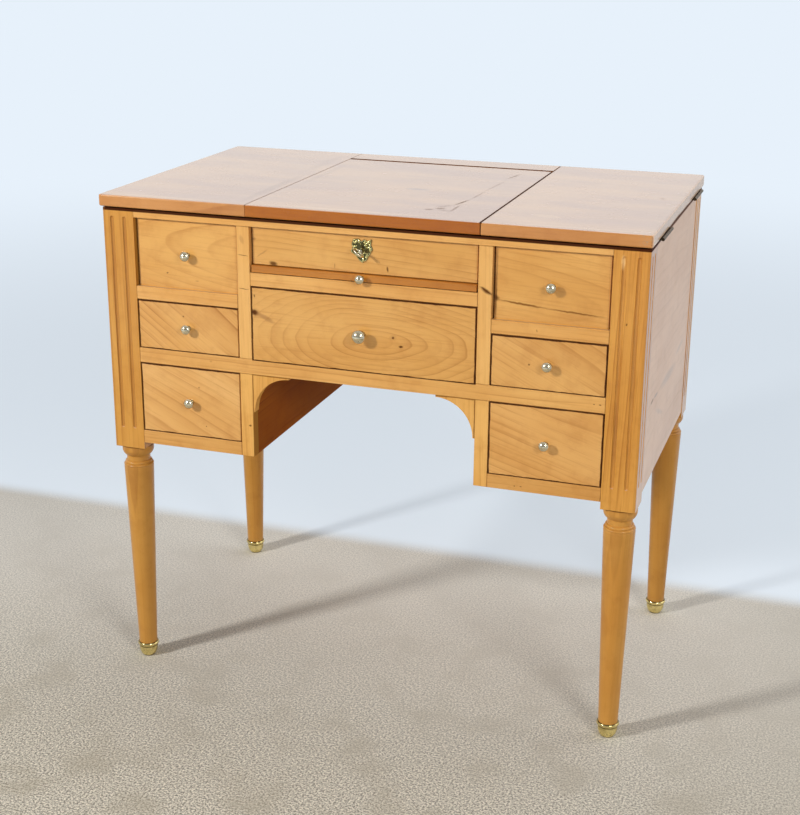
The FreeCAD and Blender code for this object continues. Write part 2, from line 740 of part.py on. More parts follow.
def hinge_leaf(span, is_fixed):
    """One leaf of a right-hand hinge with its knuckles, bored for the pin and drilled for screws."""
    y0, y1 = span
    direction = -1.0 if is_fixed else 1.0
    level = carcass_top if is_fixed else top_underside
    z0 = level if is_fixed else level - HINGE_LEAF_THICKNESS
    plate = block(hinge_x - HINGE_LEAF_WIDTH, hinge_x, y0, y1, z0, z0 + HINGE_LEAF_THICKNESS)
    pitch = (y1 - y0) / HINGE_KNUCKLES
    knuckles = []
    cutters = []
    for step in range(HINGE_KNUCKLES):
        low = y0 + pitch * step
        own = (step % 2 == 0) == is_fixed
        if own:
            foot = FreeCAD.Vector(hinge_x, low + HINGE_KNUCKLE_GAP / 2.0, hinge_z)
            knuckles.append(Part.makeCylinder(HINGE_BARREL_RADIUS, pitch - HINGE_KNUCKLE_GAP, foot, Y_AXIS))
        else:
            y_low = low - HINGE_KNUCKLE_GAP / 2.0
            y_high = low + pitch + HINGE_KNUCKLE_GAP / 2.0
            x0 = hinge_x - HINGE_BARREL_RADIUS - HINGE_KNUCKLE_GAP
            z1 = z0 + HINGE_LEAF_THICKNESS + OVERRUN
            cutters.append(block(x0, hinge_x + OVERRUN, y_low, y_high, z0 - OVERRUN, z1))
    bore_foot = FreeCAD.Vector(hinge_x, y0 - OVERRUN, hinge_z)
    bore_length = y1 - y0 + 2.0 * OVERRUN
    bore = Part.makeCylinder(HINGE_PIN_RADIUS + HINGE_PIN_CLEARANCE, bore_length, bore_foot, Y_AXIS)
    holes = [screw_hole(point, direction) for point in hinge_screw_points(level)]
    return plate.cut(cutters).fuse(knuckles).cut([bore] + holes)


def hinge_leaves(is_fixed):
    """Both leaves of one kind on the right-hand side."""
    return [hinge_leaf(span, is_fixed) for span in hinge_spans()]


def hinge_screws(is_fixed):
    """The screws of the right-hand leaves of one kind."""
    level = carcass_top if is_fixed else top_underside
    direction = -1.0 if is_fixed else 1.0
    rise = Z_AXIS * (direction * HINGE_LEAF_THICKNESS)
    return [screw(point - rise, direction) for point in hinge_screw_points(level)]


def hinge_pins():
    """The pins of the right-hand hinges."""
    pins = []
    for y0, y1 in hinge_spans():
        foot = FreeCAD.Vector(hinge_x, y0 + HINGE_KNUCKLE_GAP, hinge_z)
        pins.append(Part.makeCylinder(HINGE_PIN_RADIUS, y1 - y0 - 2.0 * HINGE_KNUCKLE_GAP, foot, Y_AXIS))
    return pins


# Lid pivots

def pivot_pin_end():
    """The inner end of the right pivot pin."""
    return knee_half - PIVOT_PLATE_THICKNESS - PIVOT_PIN_REACH


def pivot_screw_levels():
    """Heights of the two screws of a pivot plate."""
    return [pivot_z - PIVOT_SCREW_DROP - PIVOT_SCREW_PITCH * step for step in range(2)]


def sideways_screw(level, grow=0.0):
    """A screw through the right pivot plate into the partition, its head flush with the plate."""
    shape = screw(FreeCAD.Vector(), 1.0, grow)
    shape.rotate(FreeCAD.Vector(), Y_AXIS, QUARTER_TURN)
    shape.translate(FreeCAD.Vector(knee_half - PIVOT_PLATE_THICKNESS, pivot_y, level))
    return shape


def pivot_screw_hole(level):
    """The hole for a pivot screw."""
    return sideways_screw(level, SCREW_CLEARANCE)


def lid_pivot():
    """The right pivot plate with its pin riveted in."""
    half = PIVOT_PLATE_WIDTH / 2.0
    x0 = knee_half - PIVOT_PLATE_THICKNESS
    plate = block(x0, knee_half, pivot_y - half, pivot_y + half, pivot_z - PIVOT_PLATE_DROP, pivot_z)
    head = Part.makeCylinder(half, PIVOT_PLATE_THICKNESS, FreeCAD.Vector(x0, pivot_y, pivot_z), X_AXIS)
    pin_foot = FreeCAD.Vector(pivot_pin_end(), pivot_y, pivot_z)
    pin = Part.makeCylinder(PIVOT_PIN_RADIUS, PIVOT_PIN_REACH + PIVOT_PLATE_THICKNESS, pin_foot, X_AXIS)
    holes = [pivot_screw_hole(level) for level in pivot_screw_levels()]
    return plate.fuse([head, pin]).cut(holes)


# Mirror

def mirror_edges():
    """Left, right, front and back edge of the mirror plate."""
    half = lid_half - MIRROR_SIDE_MARGIN
    return -half, half, top_front + MIRROR_FRONT_MARGIN, lid_back - MIRROR_BACK_MARGIN


def lid_mirror():
    """The mirror plate on the underside of the lid."""
    x0, x1, y0, y1 = mirror_edges()
    return block(x0, x1, y0, y1, top_underside - MIRROR_THICKNESS, top_underside)


def mirror_beads():
    """Four mitred beads that hold the mirror."""
    x0, x1, y0, y1 = mirror_edges()
    inner = [(x0, y0), (x1, y0), (x1, y1), (x0, y1)]
    outer = [(x0 - BEAD_WIDTH, y0 - BEAD_WIDTH), (x1 + BEAD_WIDTH, y0 - BEAD_WIDTH),
             (x1 + BEAD_WIDTH, y1 + BEAD_WIDTH), (x0 - BEAD_WIDTH, y1 + BEAD_WIDTH)]
    low = top_underside - BEAD_THICKNESS
    beads = []
    for step, start in enumerate(inner):
        following = (step + 1) % len(inner)
        corners = [start, inner[following], outer[following], outer[step], start]
        wire = Part.makePolygon([FreeCAD.Vector(x, y, low) for x, y in corners])
        beads.append(Part.Face(wire).extrude(Z_AXIS * BEAD_THICKNESS))
    return beads


# Drawers and writing slide

def drawer(name, x0, x1, z0, z1, back_space, knob_radius):
    """Export one drawer that fills an opening: its front, its box of four boards and its knob."""
    left = x0 + DRAWER_SIDE_GAP
    right = x1 - DRAWER_SIDE_GAP
    low = z0 + DRAWER_RUN_GAP
    high = z1 - DRAWER_TOP_GAP
    face = front + DRAWER_FRONT_SET
    front_back = face + DRAWER_FRONT_THICKNESS
    end = back_panel_front - back_space
    x_in = left + DRAWER_SIDE_INSET
    x_out = right - DRAWER_SIDE_INSET
    top = high - DRAWER_TOP_DROP
    lap = front_back - DRAWER_LAP
    sides = [
        block(x_in, x_in + DRAWER_SIDE_THICKNESS, lap, end, low, top),
        block(x_out - DRAWER_SIDE_THICKNESS, x_out, lap, end, low, top),
    ]
    x_in += DRAWER_SIDE_THICKNESS
    x_out -= DRAWER_SIDE_THICKNESS
    bottom_low = low + DRAWER_BOTTOM_RISE
    bottom_high = bottom_low + DRAWER_BOTTOM_THICKNESS
    rear = block(x_in, x_out, end - DRAWER_BACK_THICKNESS, end, bottom_high, top)
    x0 = x_in - DRAWER_GROOVE
    x1 = x_out + DRAWER_GROOVE
    bottom = block(x0, x1, front_back - DRAWER_GROOVE, end, bottom_low, bottom_high)
    x_knob = (left + right) / 2.0
    z_knob = (low + high) / 2.0
    board = rounded_front(block(left, right, face, front_back, low, high), DRAWER_FRONT_ARRIS, face)
    board = board.cut(sides + [bottom, shank_hole(x_knob, face, z_knob)])
    export(name + "_drawer_front", board)
    export(name + "_drawer_box", Part.makeCompound([side.cut(bottom) for side in sides] + [rear, bottom]))
    export(name + "_drawer_knob", knob(x_knob, face, z_knob, knob_radius))


def side_drawer(side, name, z0, z1):
    """Export one drawer of a bank."""
    x0, x1 = sorted((SIDES[side] * muntin_outer, SIDES[side] * post_inner))
    drawer(side + "_" + name, x0, x1, z0, z1, SIDE_DRAWER_BACK_SPACE, SMALL_KNOB_RADIUS)


def writing_slide():
    """Export the writing slide and its knob."""
    half = knee_half - SLIDE_SIDE_GAP
    low = slide_rail_top + DRAWER_RUN_GAP
    high = low + SLIDE_THICKNESS
    face = front + DRAWER_FRONT_SET
    z_knob = (low + high) / 2.0
    end = back_panel_front - SLIDE_BACK_SPACE
    board = rounded_front(block(-half, half, face, end, low, high), SLIDE_ARRIS, face)
    export("writing_slide_board", board.cut(shank_hole(0.0, face, z_knob)))
    export("writing_slide_knob", knob(0.0, face, z_knob, SLIDE_KNOB_RADIUS))


# Lock, escutcheon and key

def keyhole(y0, y1):
    """The hole through a board for the stem and the bit of the key."""
    stem_foot = FreeCAD.Vector(0.0, y0, lock_level)
    stem = Part.makeCylinder(KEY_STEM_RADIUS + KEY_STEM_CLEARANCE, y1 - y0, stem_foot, Y_AXIS)
    half = KEY_BIT_THICKNESS / 2.0 + KEYHOLE_SLOT_CLEARANCE
    slot = block(-half, half, y0, y1, lock_level - KEY_BIT_DROP - KEYHOLE_SLOT_CLEARANCE, lock_level)
    return stem.fuse(slot)


def escutcheon():
    """The scrolled brass plate round the keyhole, with a lobed outline."""
    points = []
    steps = ESCUTCHEON_LOBES * ESCUTCHEON_STEPS
    for step in range(steps):
        angle = 2.0 * math.pi * step / steps
        swell = 1.0 - ESCUTCHEON_LOBE_SHARE * (1.0 + math.cos(ESCUTCHEON_LOBES * angle)) / 2.0
        points.append(FreeCAD.Vector(math.sin(angle) * swell * ESCUTCHEON_WIDTH / 2.0, fixed_face,
                                     lock_level + math.cos(angle) * swell * ESCUTCHEON_HEIGHT / 2.0))
    outline = Part.BSplineCurve()
    outline.interpolate(points, PeriodicFlag=True)
    plate = Part.Face(Part.Wire(outline.toShape())).extrude(Y_AXIS * -ESCUTCHEON_THICKNESS)
    return plate.cut(keyhole(fixed_face - ESCUTCHEON_THICKNESS - OVERRUN, fixed_face + OVERRUN))


def lock_case():
    """The box of the lock, open to the front, with the slot for its bolt."""
    half = LOCK_WIDTH / 2.0
    low = lock_level - LOCK_FOOT_DROP
    high = carcass_top - LOCK_TOP_DROP
    box = block(-half, half, fixed_back, fixed_back + LOCK_DEPTH, low, high)
    hollow_back = fixed_back + LOCK_DEPTH - LOCK_WALL
    hollow = block(-half + LOCK_WALL, half - LOCK_WALL, fixed_back - OVERRUN, hollow_back,
                   low + LOCK_WALL, high - LOCK_WALL)
    half_x = LOCK_BOLT_WIDTH / 2.0 + LOCK_BOLT_RUN_GAP
    half_y = LOCK_BOLT_THICKNESS / 2.0 + LOCK_BOLT_RUN_GAP
    slot_low = high - LOCK_WALL - OVERRUN
    slot = block(-half_x, half_x, bolt_y - half_y, bolt_y + half_y, slot_low, high + OVERRUN)
    return box.cut([hollow, slot])


def lock_bolt():
    """The bolt of the lock, drawn down."""
    half_x = LOCK_BOLT_WIDTH / 2.0
    half_y = LOCK_BOLT_THICKNESS / 2.0
    head = top_underside - LOCK_BOLT_REST_GAP
    return block(-half_x, half_x, bolt_y - half_y, bolt_y + half_y, head - LOCK_BOLT_LENGTH, head)


def key_bow(bow_start):
    """The oval ring of the key, upright in front of the stem."""
    middle = FreeCAD.Vector(0.0, bow_start - KEY_BOW_LENGTH / 2.0, lock_level)
    crown = middle + Z_AXIS * (KEY_BOW_WIDTH / 2.0)
    spine = Part.Ellipse(crown, middle + Y_AXIS * (KEY_BOW_LENGTH / 2.0), middle)
    section = Part.Wire(Part.Circle(crown, Y_AXIS, KEY_BOW_WIRE_RADIUS).toShape())
    return Part.Wire(spine.toShape()).makePipeShell([section], True, False)


def key():
    """The key, left a little turned in the lock."""
    tip = fixed_back + LOCK_DEPTH - LOCK_WALL - KEY_TIP_GAP
    bow_start = fixed_face - KEY_STEM_REACH
    start = FreeCAD.Vector(0.0, bow_start, lock_level)
    stem = Part.makeCylinder(KEY_STEM_RADIUS, tip - bow_start, start, Y_AXIS)
    collar = Part.makeCylinder(KEY_COLLAR_RADIUS, KEY_COLLAR_LENGTH, start, Y_AXIS)
    half = KEY_BIT_THICKNESS / 2.0
    bit = block(-half, half, tip - KEY_BIT_WIDTH, tip, lock_level - KEY_BIT_DROP, lock_level)
    shape = stem.fuse([collar, key_bow(bow_start), bit])
    shape.rotate(start, Y_AXIS, -KEY_REST_TURN)
    return shape


pivot_y = lid_back - TOP_THICKNESS / 2.0
pivot_z = TABLE_HEIGHT - TOP_THICKNESS / 2.0
hinge_x = top_half + HINGE_OUTSET
hinge_z = (carcass_top + top_underside) / 2.0
bolt_y = fixed_back + LOCK_DEPTH / 2.0

# Posts, legs and sabots
front_post = post(True)
back_post = post(False)
for side_name in SIDES:
    export("front_" + side_name + "_post", to_side(front_post, side_name))
    export("back_" + side_name + "_post", to_side(back_post, side_name))
export("sabots", Part.makeCompound([sabot(middle) for middle in leg_middles()]))

# Boards of the carcass
side_board = side_panel()
partition_board = partition()
for side_name in SIDES:
    export(side_name + "_side_panel", to_side(side_board, side_name))
    export(side_name + "_partition", to_side(partition_board, side_name))
for panel_name, panel_shape in zip(("left", "centre", "right"), back_panels()):
    export(panel_name + "_back_panel", panel_shape)

# Front frame
export("top_rail", tenoned_rail(top_rail_bottom, carcass_top))
export("cross_rail", cross_rail())
export("slide_rail", slide_rail())
export("upper_side_rails", on_both_sides(side_rail(middle_opening_top, side_rail_top)))
export("bottom_rails", on_both_sides(side_rail(bottom_rail_bottom, bottom_rail_top)))
export("upper_muntins", on_both_sides(muntin(cross_rail_top, top_rail_bottom)))
export("lower_muntins", on_both_sides(muntin(bottom_rail_bottom, cross_rail_bottom)))
export("spandrels", on_both_sides(spandrel()))
export("false_fronts", on_both_sides(false_front()))
export("centre_fixed_front", centre_fixed_front())
fixed_knob = knob(bank_middle, fixed_face, (side_rail_top + top_rail_bottom) / 2.0, SMALL_KNOB_RADIUS)
export("fixed_knobs", on_both_sides(fixed_knob))

# Boards inside
export("side_well_floors", on_both_sides(well_floor()))
mirror_floor_low = slide_opening_top + WELL_FLOOR_RISE
mirror_floor_high = mirror_floor_low + WELL_FLOOR_THICKNESS
export("mirror_well_floor", centre_board(fixed_back, mirror_floor_low, mirror_floor_high))
centre_levels = (slide_rail_top, cross_rail_top - CENTRE_RAIL_DROP)
centre_bearers = [centre_board(frame_back, level - BEARER_THICKNESS, level) for level in centre_levels]
bank_bearers = [to_side(board, side_name) for side_name in SIDES for board in side_bearers()]
export("drawer_bearers", Part.makeCompound(centre_bearers + bank_bearers))
bank_guides = [to_side(strip, side_name) for side_name in SIDES for strip in side_guides()]
export("drawer_guides", Part.makeCompound(bank_guides))

# Top boards, mirror and hinges
export("back_strip", back_strip())
export("lid_board", lid_board())
export("lid_mirror", lid_mirror())
export("mirror_beads", Part.makeCompound(mirror_beads()))
for side_name in SIDES:
    moving = hinge_leaves(False) + hinge_screws(False)
    export(side_name + "_flap_board", flap_board(side_name))
    export(side_name + "_flap_leaves", Part.makeCompound([to_side(piece, side_name) for piece in moving]))
fixed_leaves = [to_side(leaf, side_name) for side_name in SIDES for leaf in hinge_leaves(True)]
export("hinge_fixed_leaves", Part.makeCompound(fixed_leaves))
both_pins = [to_side(pin, side_name) for side_name in SIDES for pin in hinge_pins()]
export("hinge_pins", Part.makeCompound(both_pins))
export("lid_pivots", on_both_sides(lid_pivot()))
case_screws = hinge_screws(True) + [sideways_screw(level) for level in pivot_screw_levels()]
both_screws = [to_side(piece, side_name) for side_name in SIDES for piece in case_screws]
export("case_screws", Part.makeCompound(both_screws))

# Drawers and writing slide
for side_name in SIDES:
    side_drawer(side_name, "middle", cross_rail_top, middle_opening_top)
    side_drawer(side_name, "bottom", bottom_rail_top, cross_rail_bottom)
drawer("centre", -knee_half, knee_half, cross_rail_top - CENTRE_RAIL_DROP, slide_rail_bottom,
       CENTRE_DRAWER_BACK_SPACE, LARGE_KNOB_RADIUS)
writing_slide()

# Lock
export("escutcheon", escutcheon())
export("lock_case", lock_case())
export("lock_bolt", lock_bolt())
export("key", key())
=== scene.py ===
"""A pale wood dressing table with a mirrored lid, two folding flaps, a writing slide and five drawers."""

import logging
import math
from dataclasses import dataclass
from enum import Enum
from functools import partial, reduce

import bmesh
import bpy
from mathutils import Matrix, Vector

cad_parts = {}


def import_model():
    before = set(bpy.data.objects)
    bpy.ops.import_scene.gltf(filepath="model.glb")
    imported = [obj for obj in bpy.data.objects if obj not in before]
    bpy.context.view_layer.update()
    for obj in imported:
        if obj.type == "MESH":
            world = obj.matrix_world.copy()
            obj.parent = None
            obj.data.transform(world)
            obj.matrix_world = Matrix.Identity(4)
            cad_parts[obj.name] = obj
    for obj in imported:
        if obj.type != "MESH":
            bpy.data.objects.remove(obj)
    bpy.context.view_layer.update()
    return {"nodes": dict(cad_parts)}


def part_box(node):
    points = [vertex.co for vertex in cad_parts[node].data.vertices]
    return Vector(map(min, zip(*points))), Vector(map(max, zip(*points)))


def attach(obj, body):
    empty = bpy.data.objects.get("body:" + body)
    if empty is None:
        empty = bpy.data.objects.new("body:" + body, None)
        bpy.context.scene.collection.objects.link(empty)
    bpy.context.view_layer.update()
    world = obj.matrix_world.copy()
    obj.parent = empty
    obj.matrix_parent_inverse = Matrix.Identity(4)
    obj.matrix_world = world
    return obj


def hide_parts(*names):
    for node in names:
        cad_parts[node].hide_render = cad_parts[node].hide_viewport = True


log = logging.getLogger("dressing_table")

Colour = tuple[float, float, float]
Place = tuple[float, float, float]
Socket = bpy.types.NodeSocket
Number = Socket | float

# The tones of knots, cracks, joints and painted shade. One darker than the limit below dulls the polish too.
# This darkest tone is painted shade: the dark in gaps, in the keyhole and under the top's overhang.
PAINTED_SHADE: Colour = (0.040, 0.005, 0.0)
# This tone serves knot cores, and painted shade in the crease under each post and at gaps between the top's
# boards.
KNOT_CORE_AND_SHADE: Colour = (0.072, 0.016, 0.001)
KNOT: Colour = (0.110, 0.036, 0.006)
# This tone serves joint lines and cracks, and a painted shadow down a false front's edge.
SEAM_AND_SHADOW: Colour = (0.190, 0.070, 0.012)
SLATE: Colour = (0.150, 0.090, 0.075)
AMBER: Colour = (0.300, 0.120, 0.030)
DIRT_AND_SHADE_BELOW = 0.21

# A millimetre in the frame's metres, and the sockets of Blender's mix node that carry colours.
MM = 0.001
MIX_SHARE, MIX_FIRST, MIX_SECOND, MIX_RESULT = 0, 6, 7, 2


class Run(Enum):
    """The way the grain of a board runs, as the turn that brings it onto X."""

    ACROSS = (0.0, 0.0, 0.0)
    DEEP = (0.0, 0.0, -90.0)
    UPRIGHT = (0.0, 90.0, 0.0)


class Facing(Enum):
    """The way the shown face of a board looks, as the axis across it."""

    SIDE = 0
    FRONT = 1
    TOP = 2


@dataclass(frozen=True)
class Pattern:
    """A noise, by its cells in a metre along and across the grain, and the range that it shows in."""

    along: float
    across: float
    detail: float = 3.0
    rough: float = 0.5
    low: float = 0.0
    high: float = 1.0


DRIFT = Pattern(3.0, 9.0)
PATCHES = Pattern(8.0, 14.0, 2.0, 0.5, 0.28, 0.60)
CLOUDS = Pattern(5.0, 15.0, 3.0, 0.5, 0.32, 0.70)
FIBRES = Pattern(12.0, 380.0, 3.0, 0.6, 0.48, 0.74)
PORES = Pattern(80.0, 1300.0, 1.0, 0.5, 0.64, 0.80)
FOG = Pattern(38.0, 38.0, 4.0, 0.6, 0.46, 0.74)
WEAR = Pattern(26.0, 26.0)
WOBBLE = Pattern(160.0, 160.0, 2.0)
UNEVEN = Pattern(60.0, 60.0)
SPECKLES = Pattern(300.0, 300.0, 4.0, 0.75, 0.50, 0.62)
TARNISH = Pattern(130.0, 130.0, 4.0, 0.6, 0.42, 0.70)
SPECKS = Pattern(900.0, 900.0, 2.0, 0.5, 0.60, 0.75)
SCRATCHES = Pattern(1600.0, 1600.0, 2.0)
FOXING = Pattern(70.0, 70.0, 5.0, 0.65, 0.68, 0.80)
PILE = Pattern(330.0, 330.0, 4.0, 0.8, 0.40, 0.60)
TREADS = Pattern(11.0, 11.0, 3.0, 0.55, 0.46, 0.70)

# Where dark growth starts, is full and starts to end, as shares of a ring, and how dark it is.
LATE_GROWTH, LATE_DARK = (0.25, 0.90, 0.93), 0.55
RING_LINE, LINE_DARK = (0.76, 0.92, 0.95), 0.75
FAINTEST_RING = 0.15
PORE_DARK, FOG_DARK = 0.18, 0.22

# How much weaker the grain of a turned leg is, and the height over which that changes.
LEG_SHARE, LEG_BLEND = 0.38, 0.002

# Painted sheen, a paler colour on upward faces and outer sides for the polish's reflection: how upright a
# pale face may lie, its duller patches and what is left of its rings.
PALE_FACING = (0.55, 0.90)
PALE_CLOUDS = (0.35, 0.68)
DULLED = (0.80, 0.82, 0.97)
PALE_RING: Colour = (0.36, 0.20, 0.12)
PALE_RING_SHARE, SHEEN_SHARE = 0.35, 0.9
SHEEN_EDGE = 0.001

# The polish: how much its roughness varies, the roughness of its top coat and the height of the fibres.
WORN, COAT_ROUGH, FIBRE_HEIGHT = 0.12, 0.14, 0.0002

# Worn metal: how much specks show and clouds roughen it, and the strength and height of scratches.
SPECK_SHARE, CLOUD_ROUGH = 0.4, 0.2
SCRATCHED, SCRATCH_HEIGHT = 0.1, 0.0001

# Metres that marks wander with the grain and by themselves, and how dirt's edges run.
DRIFT_REACH, WOBBLE_REACH = 0.006, 0.002
UNEVEN_REACH, RIM_OUTER, RIM_INNER = 0.0022, 0.0004, 0.0006

# How far back the line round a drawer front goes, and its width along a faint edge.
RIM_BACK, FAINT_WIDTH = 0.0014, 0.0012

# The share of a mark that is wholly dark, a crack's reach for its length, and a strip's overhang.
MARK_CORE, CRACK_REACH, CLEAR = 0.3, 0.55, 0.003


class Graph:
    """The node tree of a material or a world, with short calls for the nodes that this table needs."""

    def __init__(self, owner: bpy.types.Material | bpy.types.World) -> None:
        """Start the tree.

        Args:
            owner: the new material or world.
        """
        owner.use_nodes = True
        self.owner = owner
        self.tree = owner.node_tree
        self.shader = self.tree.nodes.get("Principled BSDF")
        self.place = self.node("TexCoord", "Object")

    def plug(self, socket: Socket, value: object) -> None:
        """Link a socket to another, or set it to a value.

        Args:
            socket: the input.
            value: an output socket, a number, a colour or a vector.
        """
        if isinstance(value, Socket):
            self.tree.links.new(value, socket)
        elif socket.type == "RGBA":
            socket.default_value = (*value, 1.0)
        else:
            socket.default_value = value

    def node(self, kind: str, output: int | str | slice, inputs: dict | tuple = (),
             **settings: str) -> Socket | list[Socket]:
        """Add a node.

        Args:
            kind: its type, without Blender's prefix.
            output: the name or number of its output, or a slice for more than one.
            inputs: the values of its inputs, by name or number, or in their order.
            settings: its own settings.

        Returns:
            The output.
        """
        node = self.tree.nodes.new("ShaderNode" + kind)
        for name, value in settings.items():
            setattr(node, name, value)
        for name, value in inputs.items() if isinstance(inputs, dict) else enumerate(inputs):
            self.plug(node.inputs[name], value)
        return node.outputs[output]

    def shade(self, inputs: dict[str, object]) -> None:
        """Set the shader's inputs, each by its name."""
        for name, value in inputs.items():
            self.plug(self.shader.inputs[name], value)

    def turned(self, vector: Socket, turn: Place = (0, 0, 0), scale: Place = (1, 1, 1)) -> Socket:
        """A vector scaled, then turned by degrees about X, Y and Z."""
        angles = tuple(math.radians(angle) for angle in turn)
        return self.node("Mapping", "Vector", {"Vector": vector, "Rotation": angles, "Scale": scale})

    def noise(self, vector: Socket, pattern: Pattern, output: str = "Fac") -> Socket:
        """A pattern's noise at a vector, between 0 and 1."""
        cells = self.turned(vector, scale=(pattern.along, pattern.across, pattern.across))
        return self.node("TexNoise", output, {"Vector": cells, "Scale": 1.0, "Detail": pattern.detail,
                                              "Roughness": pattern.rough})

    def shown(self, noise: Socket, pattern: Pattern) -> Socket:
        """How strongly a pattern shows for its noise, between 0 and 1."""
        return self.band(noise, pattern.low, pattern.high)

    def patches(self, vector: Socket, pattern: Pattern, depth: Number = 1.0) -> Socket:
        """How strongly a pattern shows at a vector, between 0 and the depth."""
        return self.product(self.shown(self.noise(vector, pattern), pattern), depth)

    def swayed(self, place: Socket, noise: Socket, reach: float) -> Socket:
        """A place moved by a coloured noise, whose extremes lie the reach apart."""
        shift = self.node("VectorMath", 0, (noise, (reach,) * 3, (-reach / 2,) * 3), operation="MULTIPLY_ADD")
        return self.vector_sum("ADD", place, shift)

    def chance(self, value: Socket) -> Socket:
        """A number by chance, from 0 to 1, for each whole number."""
        return self.node("TexWhiteNoise", "Value", {"W": self.sum("FLOOR", value)}, noise_dimensions="1D")

    def sum(self, kind: str, *numbers: Number) -> Socket:
        """The result of an operation on numbers."""
        return self.node("Math", 0, numbers, operation=kind)

    def product(self, *numbers: Number) -> Number:
        """The numbers multiplied, from the first to the last."""
        return reduce(partial(self.sum, "MULTIPLY"), numbers)

    def vector_sum(self, kind: str, *vectors: Socket | Place) -> Socket:
        """The vector that an operation gives, or the number for a length."""
        return self.node("VectorMath", "Value" if kind == "LENGTH" else "Vector", vectors, operation=kind)

    def split(self, vector: Socket) -> list[Socket]:
        """The three parts of a vector."""
        return self.node("SeparateXYZ", slice(0, 3), (vector,))

    def band(self, value: Socket, low: float, high: float) -> Socket:
        """A smooth step from 0 at the low value to 1 at the high one, which may lie below it."""
        ends = (low, high, 0.0, 1.0) if low < high else (high, low, 1.0, 0.0)
        return self.node("MapRange", "Result", (value, *ends), interpolation_type="SMOOTHSTEP")

    def mix(self, share: Number, first: Colour | Socket, second: Colour | Socket) -> Socket:
        """A blend of two colours, by the share of the second."""
        colours = {MIX_SHARE: share, MIX_FIRST: first, MIX_SECOND: second}
        return self.node("Mix", MIX_RESULT, colours, data_type="RGBA")

    def bump(self, height: Socket, strength: float, distance: float) -> Socket:
        """The normal of a surface that is raised by so many metres for a height of 1."""
        return self.node("Bump", "Normal", {"Height": height, "Strength": strength, "Distance": distance})


@dataclass(frozen=True)
class Mark:
    """A knot, a fleck, a crack or a spot of painted shade on a board: an oval stain at a place on its face.
    """

    centre: Place
    length: float
    width: float
    turn: float = 0.0
    depth: float = 0.85
    tone: Colour = KNOT
    facing: Facing = Facing.FRONT
    reach: float = 0.008

    def stain(self, graph: Graph, place: Socket) -> Socket:
        """How strongly the mark stains each place.

        Args:
            graph: the node tree.
            place: the place that is read.

        Returns:
            A number between 0 and the depth.
        """
        turns = {Facing.FRONT: (0.0, self.turn, 0.0), Facing.TOP: (0.0, 0.0, -self.turn),
                 Facing.SIDE: (-self.turn, 0.0, 0.0)}
        sizes = {Facing.FRONT: (self.length, self.reach, self.width),
                 Facing.TOP: (self.length, self.width, self.reach),
                 Facing.SIDE: (self.reach, self.length, self.width)}
        away = graph.vector_sum("SUBTRACT", place, self.centre)
        level = graph.turned(away, turn=turns[self.facing])
        oval = graph.turned(level, scale=tuple(1.0 / size for size in sizes[self.facing]))
        return graph.product(graph.band(graph.vector_sum("LENGTH", oval), 1.0, MARK_CORE), self.depth)


def crack(start: Place, end: Place, width: float, depth: float = 0.8, tone: Colour = SLATE,
          facing: Facing = Facing.TOP) -> Mark:
    """A straight crack between two places on a face.

    Args:
        start: one end.
        end: the other end.
        width: half its width.
        depth: how dark it is.
        tone: its colour.
        facing: the way the face looks.

    Returns:
        The crack as a mark.
    """
    first, second = Vector(start), Vector(end)
    along = second - first
    turns = {Facing.TOP: math.atan2(along.y, along.x), Facing.FRONT: math.atan2(along.z, along.x),
             Facing.SIDE: math.atan2(along.z, along.y)}
    return Mark(tuple((first + second) / 2), along.length * CRACK_REACH, width, math.degrees(turns[facing]),
                depth, tone, facing)


@dataclass(frozen=True)
class Band:
    """A dirty, worn or shaded strip: all that lies between two planes across one axis."""

    axis: Facing
    low: float
    high: float
    depth: float = 0.9
    tone: Colour = PAINTED_SHADE
    soft: float = 0.0006
    speckled: bool = False
    above: float | None = None

    def stain(self, graph: Graph, place: Socket) -> Socket:
        """How strongly the strip stains each place.

        Args:
            graph: the node tree.
            place: the place that is read.

        Returns:
            A number between 0 and the depth.
        """
        parts = graph.split(place)
        part = parts[self.axis.value]
        into = graph.band(part, self.low - self.soft, self.low + self.soft)
        out = graph.band(part, self.high + self.soft, self.high - self.soft)
        share = graph.product(into, out, self.depth)
        if self.above is not None:
            height = parts[Facing.TOP.value]
            share = graph.product(share, graph.band(height, self.above - self.soft, self.above + self.soft))
        if self.speckled:
            share = graph.patches(place, SPECKLES, share)
        return share


@dataclass(frozen=True)
class Rim:
    """The dark line round a board, at its left, right, bottom and top edges, as painted shade in the gap
    round it. A Seam draws a dark joint with it. None has no line.
    """

    span: tuple[float | None, float | None, float | None, float | None]
    depth: float = 0.96
    tone: Colour = PAINTED_SHADE
    width: float = 0.0017
    paired: bool = False
    back: float | None = None

    def stain(self, graph: Graph, place: Socket) -> Socket:
        """How strongly the line stains each place.

        Args:
            graph: the node tree.
            place: the place that is read.

        Returns:
            A number between 0 and the depth.
        """
        across, depth, height = graph.split(place)
        if self.paired:
            across = graph.sum("ABSOLUTE", across)
        left, right, bottom, top = self.span
        pairs = ((across, left), (height, bottom), (right, across), (top, height))
        gaps = [graph.sum("SUBTRACT", far, near) for far, near in pairs if None not in (far, near)]
        near = reduce(partial(graph.sum, "MINIMUM"), gaps)
        edge = graph.sum("MULTIPLY_ADD", graph.noise(place, UNEVEN), UNEVEN_REACH, near)
        edge = graph.sum("SUBTRACT", edge, UNEVEN_REACH / 2)
        share = graph.product(graph.band(edge, self.width + RIM_OUTER, self.width - RIM_INNER), self.depth)
        if self.back is not None:
            share = graph.product(share, graph.band(depth, self.back + RIM_OUTER, self.back - RIM_OUTER))
        return share


@dataclass(frozen=True)
class Seam(Rim):
    """The thin line where two pieces of the frame meet, on both halves of the table."""

    depth: float = 0.6
    tone: Colour = SEAM_AND_SHADOW
    width: float = 0.0011
    paired: bool = True


Stain = Mark | Band | Rim


